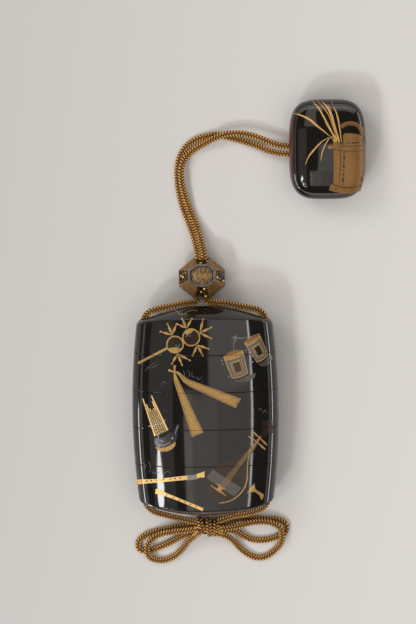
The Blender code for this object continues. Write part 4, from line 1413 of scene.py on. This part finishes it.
def make_specks(flaked_gold):
    """Bright irregular specks of gold on the black facets, three to each."""
    rng = random.Random(11)
    half = BEAD_SIZE / 2
    specks = []
    deselect_all()
    bpy.ops.mesh.primitive_ico_sphere_add(subdivisions=1, radius=1.0)
    seed = bpy.context.object
    coat(seed, flaked_gold)
    for sign, axis, side, number in itertools.product((-1, 1), (0, 1), (-1, 1), range(3)):
        down = 0.22 + 0.28 * number + 0.1 * rng.random()
        wide = (BEAD_FACE_SIDE + (BEAD_SIDE - BEAD_FACE_SIDE) * down) / 2 - 0.5 * MM
        slope = half[axis] - BEAD_FACE[axis] / 2
        fall = half.z - BEAD_BAND / 2
        spot = Vector((0, 0, sign * (half.z - fall * down)))
        spot[1 - axis] = (2 * rng.random() - 1) * wide
        spot[axis] = side * (BEAD_FACE[axis] / 2 + slope * down)
        normal = Vector((0, 0, sign * slope))
        normal[axis] = side * fall
        normal.normalize()
        size = (0.38 + 0.14 * rng.random()) * MM
        flat = Matrix.Diagonal((size, size * (0.6 + 0.8 * rng.random()), size * 0.35, 1.0))
        turn = normal.to_track_quat("Z", "X").to_matrix().to_4x4()
        speck = copy_of(seed)
        speck.data.transform(Matrix.Translation(BEAD_CENTRE + spot - normal * SPECK_SINK) @ turn @ flat)
        specks.append(speck)
    drop(seed)
    made = joined(specks, "bead_specks")
    tilted(made)
    shade(made, 60)
    finish_piece(made)


# Materials


def shader_of(name, **values):
    """A new material and its Principled shader with these plain values."""
    material = bpy.data.materials.new(name)
    material.use_nodes = True
    shader = material.node_tree.nodes["Principled BSDF"]
    for key, value in values.items():
        shader.inputs[key.replace("_", " ")].default_value = value
    return material, shader


def add_node(tree, kind, inputs=None, **settings):
    node = tree.nodes.new(kind)
    for key, value in settings.items():
        setattr(node, key, value)
    for key, value in (inputs or {}).items():
        if isinstance(value, bpy.types.NodeSocket):
            tree.links.new(value, node.inputs[key])
        else:
            node.inputs[key].default_value = value
    return node


def plug(tree, node, **sockets):
    """Links these outputs to the node's inputs of the same names."""
    for key, socket in sockets.items():
        tree.links.new(socket, node.inputs[key.replace("_", " ")])


def object_place(tree):
    return add_node(tree, "ShaderNodeTexCoord").outputs["Object"]


def noise(tree, vector, scale, detail):
    return add_node(tree, "ShaderNodeTexNoise",
                    {"Vector": vector, "Scale": scale, "Detail": detail}).outputs[0]


def maths(tree, operation, first, second):
    return add_node(tree, "ShaderNodeMath", {0: first, 1: second}, operation=operation).outputs[0]


def mapped(tree, value, low, high, to_low, to_high):
    """The value's range from low to high carried over to another range."""
    return add_node(tree, "ShaderNodeMapRange", {"Value": value, "From Min": low, "From Max": high,
                                                 "To Min": to_low, "To Max": to_high}).outputs[0]


def blend(tree, factor, first, second):
    """The first colour, giving way to the plain second one as the factor grows."""
    return add_node(tree, "ShaderNodeMix", {"Factor": factor, 6: first, 7: (*second, 1.0)},
                    data_type="RGBA").outputs[2]


def across(tree, place):
    return add_node(tree, "ShaderNodeSeparateXYZ", {0: place}).outputs["X"]


def roughen(tree, shader, height, strength, distance):
    bump = add_node(tree, "ShaderNodeBump", {"Height": height, "Strength": strength, "Distance": distance})
    plug(tree, shader, Normal=bump.outputs[0])


def ramp(tree, factor, stops):
    """A colour ramp; stops are (place, colour)."""
    node = add_node(tree, "ShaderNodeValToRGB", {"Fac": factor})
    elements = node.color_ramp.elements
    while len(elements) < len(stops):
        elements.new(0.5)
    for element, (place, colour) in zip(elements, stops):
        element.position = place
        element.color = (*colour, 1.0)
    return node.outputs["Color"]


def group_of(name, inputs, outputs):
    """A new shader node group of plain number sockets, and its two end nodes."""
    tree = bpy.data.node_groups.new(name, "ShaderNodeTree")
    for key, value in inputs.items():
        tree.interface.new_socket(key, in_out="INPUT", socket_type="NodeSocketFloat").default_value = value
    for key in outputs:
        tree.interface.new_socket(key, in_out="OUTPUT", socket_type="NodeSocketFloat")
    return tree, tree.nodes.new("NodeGroupInput"), tree.nodes.new("NodeGroupOutput")


def polish_group():
    """Hairline scratches and a faint unevenness in polished lacquer."""
    tree, start, end = group_of("lacquer_polish", {"Scratches": 1.0}, ("Roughness", "Height"))
    place = object_place(tree)
    stretched = add_node(tree, "ShaderNodeMapping", {"Vector": place, "Rotation": (0.0, 0.0, 0.5),
                                                     "Scale": (1600.0, 90.0, 400.0)}).outputs[0]
    hair = noise(tree, stretched, 1.0, 3.0)
    cloud = noise(tree, place, 140.0, 4.0)
    worn = maths(tree, "MULTIPLY", mapped(tree, hair, 0.62, 0.75, 0.0, 0.10), start.outputs["Scratches"])
    rough = maths(tree, "ADD", worn, mapped(tree, cloud, 0.4, 0.75, 0.045, 0.10))
    plug(tree, end, Roughness=rough, Height=hair)
    return tree


def grain_group():
    """The sprinkled grain of metal powder under clear lacquer, and where it is rubbed bare."""
    tree, start, end = group_of("powder_grain", {"Fineness": 5000.0, "Wear": 0.3}, ("Grain", "Bare"))
    place = object_place(tree)
    fine = noise(tree, place, start.outputs["Fineness"], 2.0)
    broad = noise(tree, place, 320.0, 5.0)
    worn = maths(tree, "MULTIPLY", mapped(tree, broad, 0.58, 0.8, 0.0, 1.0), start.outputs["Wear"])
    plug(tree, end, Grain=fine, Bare=worn)
    return tree


def use_group(tree, group, **values):
    node = add_node(tree, "ShaderNodeGroup", node_tree=group)
    for key, value in values.items():
        node.inputs[key].default_value = value
    return node


def lacquer(name, colour, polish, worn_red=None):
    """Black lacquer polished to a mirror; worn_red is where along x its red ground shows fully and ends."""
    material, shader = shader_of(name, IOR=1.54)
    tree = material.node_tree
    shine = use_group(tree, polish).outputs
    place = object_place(tree)
    cloud = noise(tree, place, 90.0, 4.0)
    body = ramp(tree, cloud, ((0.3, colour), (0.75, tuple(c * 1.5 for c in colour))))
    if worn_red:
        start, end, red = worn_red
        edge = mapped(tree, across(tree, place), start, end, 1.0, 0.0)
        patches = mapped(tree, cloud, 0.3, 0.6, 0.3, 1.0)
        body = blend(tree, maths(tree, "MULTIPLY", edge, patches), body, red)
    plug(tree, shader, Roughness=shine["Roughness"], Base_Color=body)
    roughen(tree, shader, shine["Height"], 0.02, 0.02 * MM)
    return material


def powder(grain, name, dark, light, bare, metallic, roughness, fineness=5000.0, wear=0.35):
    """Sprinkled metal powder: a light and a dark grain, rubbed through in places."""
    material, shader = shader_of(name, Roughness=roughness, Metallic=metallic)
    tree = material.node_tree
    spread = use_group(tree, grain, Fineness=fineness, Wear=wear).outputs
    tint = ramp(tree, spread["Grain"], ((0.32, dark), (0.62, light)))
    plug(tree, shader, Base_Color=blend(tree, spread["Bare"], tint, bare))
    roughen(tree, shader, spread["Grain"], 0.25, 0.03 * MM)
    return material


def silk_material():
    """Golden brown silk with fine threads along it, and painted shade between the stitches and painted
    highlights on their crowns.
    """
    material, shader = shader_of("braided_silk", Roughness=0.66, Specular_IOR_Level=0.3)
    tree = material.node_tree
    crown = add_node(tree, "ShaderNodeAttribute", attribute_name="crown").outputs["Fac"]
    uv = add_node(tree, "ShaderNodeUVMap", uv_map="braid").outputs[0]
    drawn_out = add_node(tree, "ShaderNodeMapping", {"Vector": uv, "Scale": (60.0, 9.0, 1.0)}).outputs[0]
    thread = noise(tree, drawn_out, 1.0, 2.0)
    cloud = noise(tree, object_place(tree), 260.0, 3.0)
    # Painted light: the stitches' crown makes the silk dark in the hollows between them and light on their
    # tops.
    tone_and_painted_light = maths(tree, "MULTIPLY", crown, 0.75)
    for part, share in ((thread, 0.2), (cloud, 0.15)):
        tone_and_painted_light = maths(tree, "ADD", tone_and_painted_light, maths(tree, "MULTIPLY", part, share))
    # The ramp runs from painted shade, near black, up to a painted highlight.
    plug(tree, shader, Base_Color=ramp(tree, tone_and_painted_light, (
        (0.30, (0.022, 0.009, 0.002)), (0.54, (0.15, 0.064, 0.010)),
        (0.72, (0.42, 0.198, 0.036)), (0.90, (0.84, 0.47, 0.13)))))
    roughen(tree, shader, thread, 0.35, 0.08 * MM)
    return material


def gilt_material(name, dark, light, roughness, metallic):
    """Old gilt metal, a little tarnished and scuffed."""
    material, shader = shader_of(name, Metallic=metallic)
    tree = material.node_tree
    cloud = noise(tree, object_place(tree), 700.0, 5.0)
    plug(tree, shader, Base_Color=ramp(tree, cloud, ((0.35, dark), (0.65, light))),
         Roughness=mapped(tree, cloud, 0.3, 0.7, roughness * 1.4, roughness * 0.8))
    return material


def flaked_material():
    """Black lacquer strewn with irregular brown-gold flakes."""
    material, shader = shader_of("flaked_facet", Roughness=0.3, Specular_IOR_Level=0.25)
    tree = material.node_tree
    place = object_place(tree)
    broken = add_node(tree, "ShaderNodeTexNoise", {"Vector": place, "Scale": 900.0, "Detail": 2.0})
    moved = add_node(tree, "ShaderNodeVectorMath", {0: broken.outputs["Color"], 1: (0.0006, 0.0006, 0.0006)},
                     operation="MULTIPLY").outputs[0]
    spot = add_node(tree, "ShaderNodeVectorMath", {0: place, 1: moved}, operation="ADD").outputs[0]
    edge = add_node(tree, "ShaderNodeTexVoronoi", {"Vector": spot, "Scale": 780.0},
                    feature="DISTANCE_TO_EDGE").outputs["Distance"]
    colour = ramp(tree, edge, ((0.008, (0.60, 0.35, 0.11)), (0.014, (0.30, 0.16, 0.05)),
                               (0.018, (0.002, 0.002, 0.002))))
    metal = ramp(tree, edge, ((0.013, (0.4, 0.4, 0.4)), (0.018, (0.0, 0.0, 0.0))))
    plug(tree, shader, Base_Color=colour, Metallic=metal)
    return material


def floor_material():
    """Pale paper, with painted light that makes it a little lighter to the right."""
    material, shader = shader_of("pale_floor", Roughness=0.85)
    tree = material.node_tree
    place = object_place(tree)
    cloud = noise(tree, place, 3.0, 2.0)
    # Painted light: the floor grows lighter towards +x.
    painted_light_rightward = mapped(tree, across(tree, place), -0.08, 0.11, 0.0, 0.9)
    tone_and_painted_light = maths(tree, "ADD", painted_light_rightward, maths(tree, "MULTIPLY", cloud, 0.1))
    tint = ramp(tree, tone_and_painted_light, ((0.0, (0.565, 0.560, 0.558)), (1.0, (0.760, 0.750, 0.745))))
    plug(tree, shader, Base_Color=tint)
    return material


# The studio


def soft_panel(name, xs, ys, radiance, height=1.3, turn=0.0, matt=True, gloss=True, colour=(1.0, 1.0, 1.0)):
    """A level soft light over the case, from corner to corner, in metres."""
    data = bpy.data.lights.new(name, "AREA")
    data.shape = "RECTANGLE"
    data.size, data.size_y = xs[1] - xs[0], ys[1] - ys[0]
    data.energy = radiance * math.pi * data.size * data.size_y
    data.color = colour
    light = add_to_scene(bpy.data.objects.new(name, data))
    light.location = ((xs[0] + xs[1]) / 2, (ys[0] + ys[1]) / 2, AXIS_Z + height)
    light.rotation_euler.z = math.radians(turn)
    light.visible_camera = False
    light.visible_diffuse = matt
    light.visible_glossy = gloss
    return light


def edge_panel(name, facing, spread, low, high, radiance, colour):
    """An upright panel at one side of the case, seen only as a light along the edges of gloss."""
    light = soft_panel(name, spread, (low, high), radiance, matt=False, colour=colour)
    along = Vector((abs(facing[1]), abs(facing[0]), 0.0)) * (spread[0] + spread[1]) / 2
    light.location = Vector((*facing, 0.0)) * PANEL_DISTANCE + along
    light.location.z = (low + high) / 2
    light.rotation_euler = Vector((-facing[0], -facing[1], 0.0)).to_track_quat("-Z", "Y").to_euler()


def make_studio():
    deselect_all()
    bpy.ops.mesh.primitive_plane_add(size=6.0)
    floor = bpy.context.object
    floor.name = "floor"
    coat(floor, floor_material())
    world = bpy.data.worlds.new("studio")
    world.use_nodes = True
    bpy.context.scene.world = world
    background = world.node_tree.nodes["Background"]
    background.inputs["Color"].default_value = (1.0, 0.965, 0.92, 1.0)
    background.inputs["Strength"].default_value = 0.11
    soft_panel("key_strip", (-1.10, -0.91), (-0.79, -0.36), 18.0, turn=-48.0)
    soft_panel("main_light", (-0.84, -0.60), (-1.12, -0.88), 58.0, gloss=False)
    soft_panel("second_light", (-1.55, -0.75), (0.60, 1.55), 5.0, gloss=False)
    soft_panel(
        "fill_light", (-1.6, 1.6), (-1.6, 1.6), 0.92, height=1.6, gloss=False, colour=(1.0, 0.93, 0.85))
    white, warm = (1.0, 1.0, 1.0), (1.0, 0.93, 0.87)
    for name, xs, ys, radiance, colour in (
            ("streak_foot", (-1.00, -0.60), (-1.20, -0.82), 11.0, white),
            ("grey_card_left", (-0.24, -0.13), (-0.90, -0.19), 1.5, warm),
            ("grey_card_middle", (-0.13, 0.10), (-0.90, -0.19), 1.05, warm),
            ("grey_card_right", (0.10, 0.80), (-0.90, -0.19), 0.80, warm),
            ("grey_card_high", (0.02, 0.80), (-0.19, 0.05), 1.1, warm),
            ("bright_strip", (0.81, 0.90), (-0.75, 0.05), 7.0, white),
            ("dim_card_left", (-1.60, -0.44), (-1.20, 0.26), 0.40, warm),
            ("far_card_left", (-0.60, 0.0), (0.32, 2.60), 1.1, warm),
            ("far_card_right", (0.0, 1.80), (1.30, 2.60), 1.1, warm)):
        soft_panel(name, xs, ys, radiance, matt=False, colour=colour)
    for name, facing, spread, low, high, radiance, colour in (
            ("far_panel", (0, 1), (-1.6, 1.6), 0.10, 0.80, 1.5, warm),
            ("near_panel", (0, -1), (-1.6, 0.5), 0.05, 0.50, 1.6, warm),
            ("left_panel", (-1, 0), (-0.8, 0.8), 0.26, 0.46, 0.9, warm),
            ("corner_panel", (-0.735, -0.678), (-0.12, 0.12), 0.0, 0.16, 30.0, white),
            ("left_strip", (-1, 0), (-0.75, -0.20), 0.03, 0.13, 12.0, white),
            ("right_panel", (1, 0), (-0.8, 0.8), 0.26, 0.44, 0.9, warm),
            ("right_strip", (1, 0), (-0.8, 0.8), 0.03, 0.12, 8.0, white)):
        edge_panel(name, facing, spread, low, high, radiance, colour)


def main():
    set_camera()
    silk = silk_material()
    knot = make_knot(silk)
    free_cord("cord", CORD_ROUTE, silk)
    for name, route in BOW_LOOPS.items():
        free_cord(name, route, silk)

    polish = polish_group()
    grain = grain_group()
    paint = {kind: powder(grain, *values) for kind, values in POWDERS.items()}
    stack = make_stack(lacquer("black_lacquer", (0.0055, 0.0046, 0.0042), polish))
    for make_picture in (rattle_picture, clapper_picture, drum_picture, mouth_organ_picture, lute_picture,
                         plectrum_picture, flute_pictures, worn_touches):
        make_picture(paint)
    ribbon_picture(paint, stack["lid"])

    make_netsuke(lacquer("netsuke_black_lacquer", (0.0060, 0.0045, 0.0038), polish, NETSUKE_WORN_EDGE))
    basket_picture(paint)
    grass_picture(paint)

    metals = {kind: gilt_material(*values) for kind, values in METALS.items()}
    make_bead(metals["gilt"], flaked_material(), metals["silver"], metals["groove"])
    make_medallion("bead_medallion_front", 1, metals["rim"], metals["granular"])
    make_medallion("bead_medallion_back", -1, metals["rim"], metals["granular"])
    make_specks(metals["flake"])
    make_studio()


main()
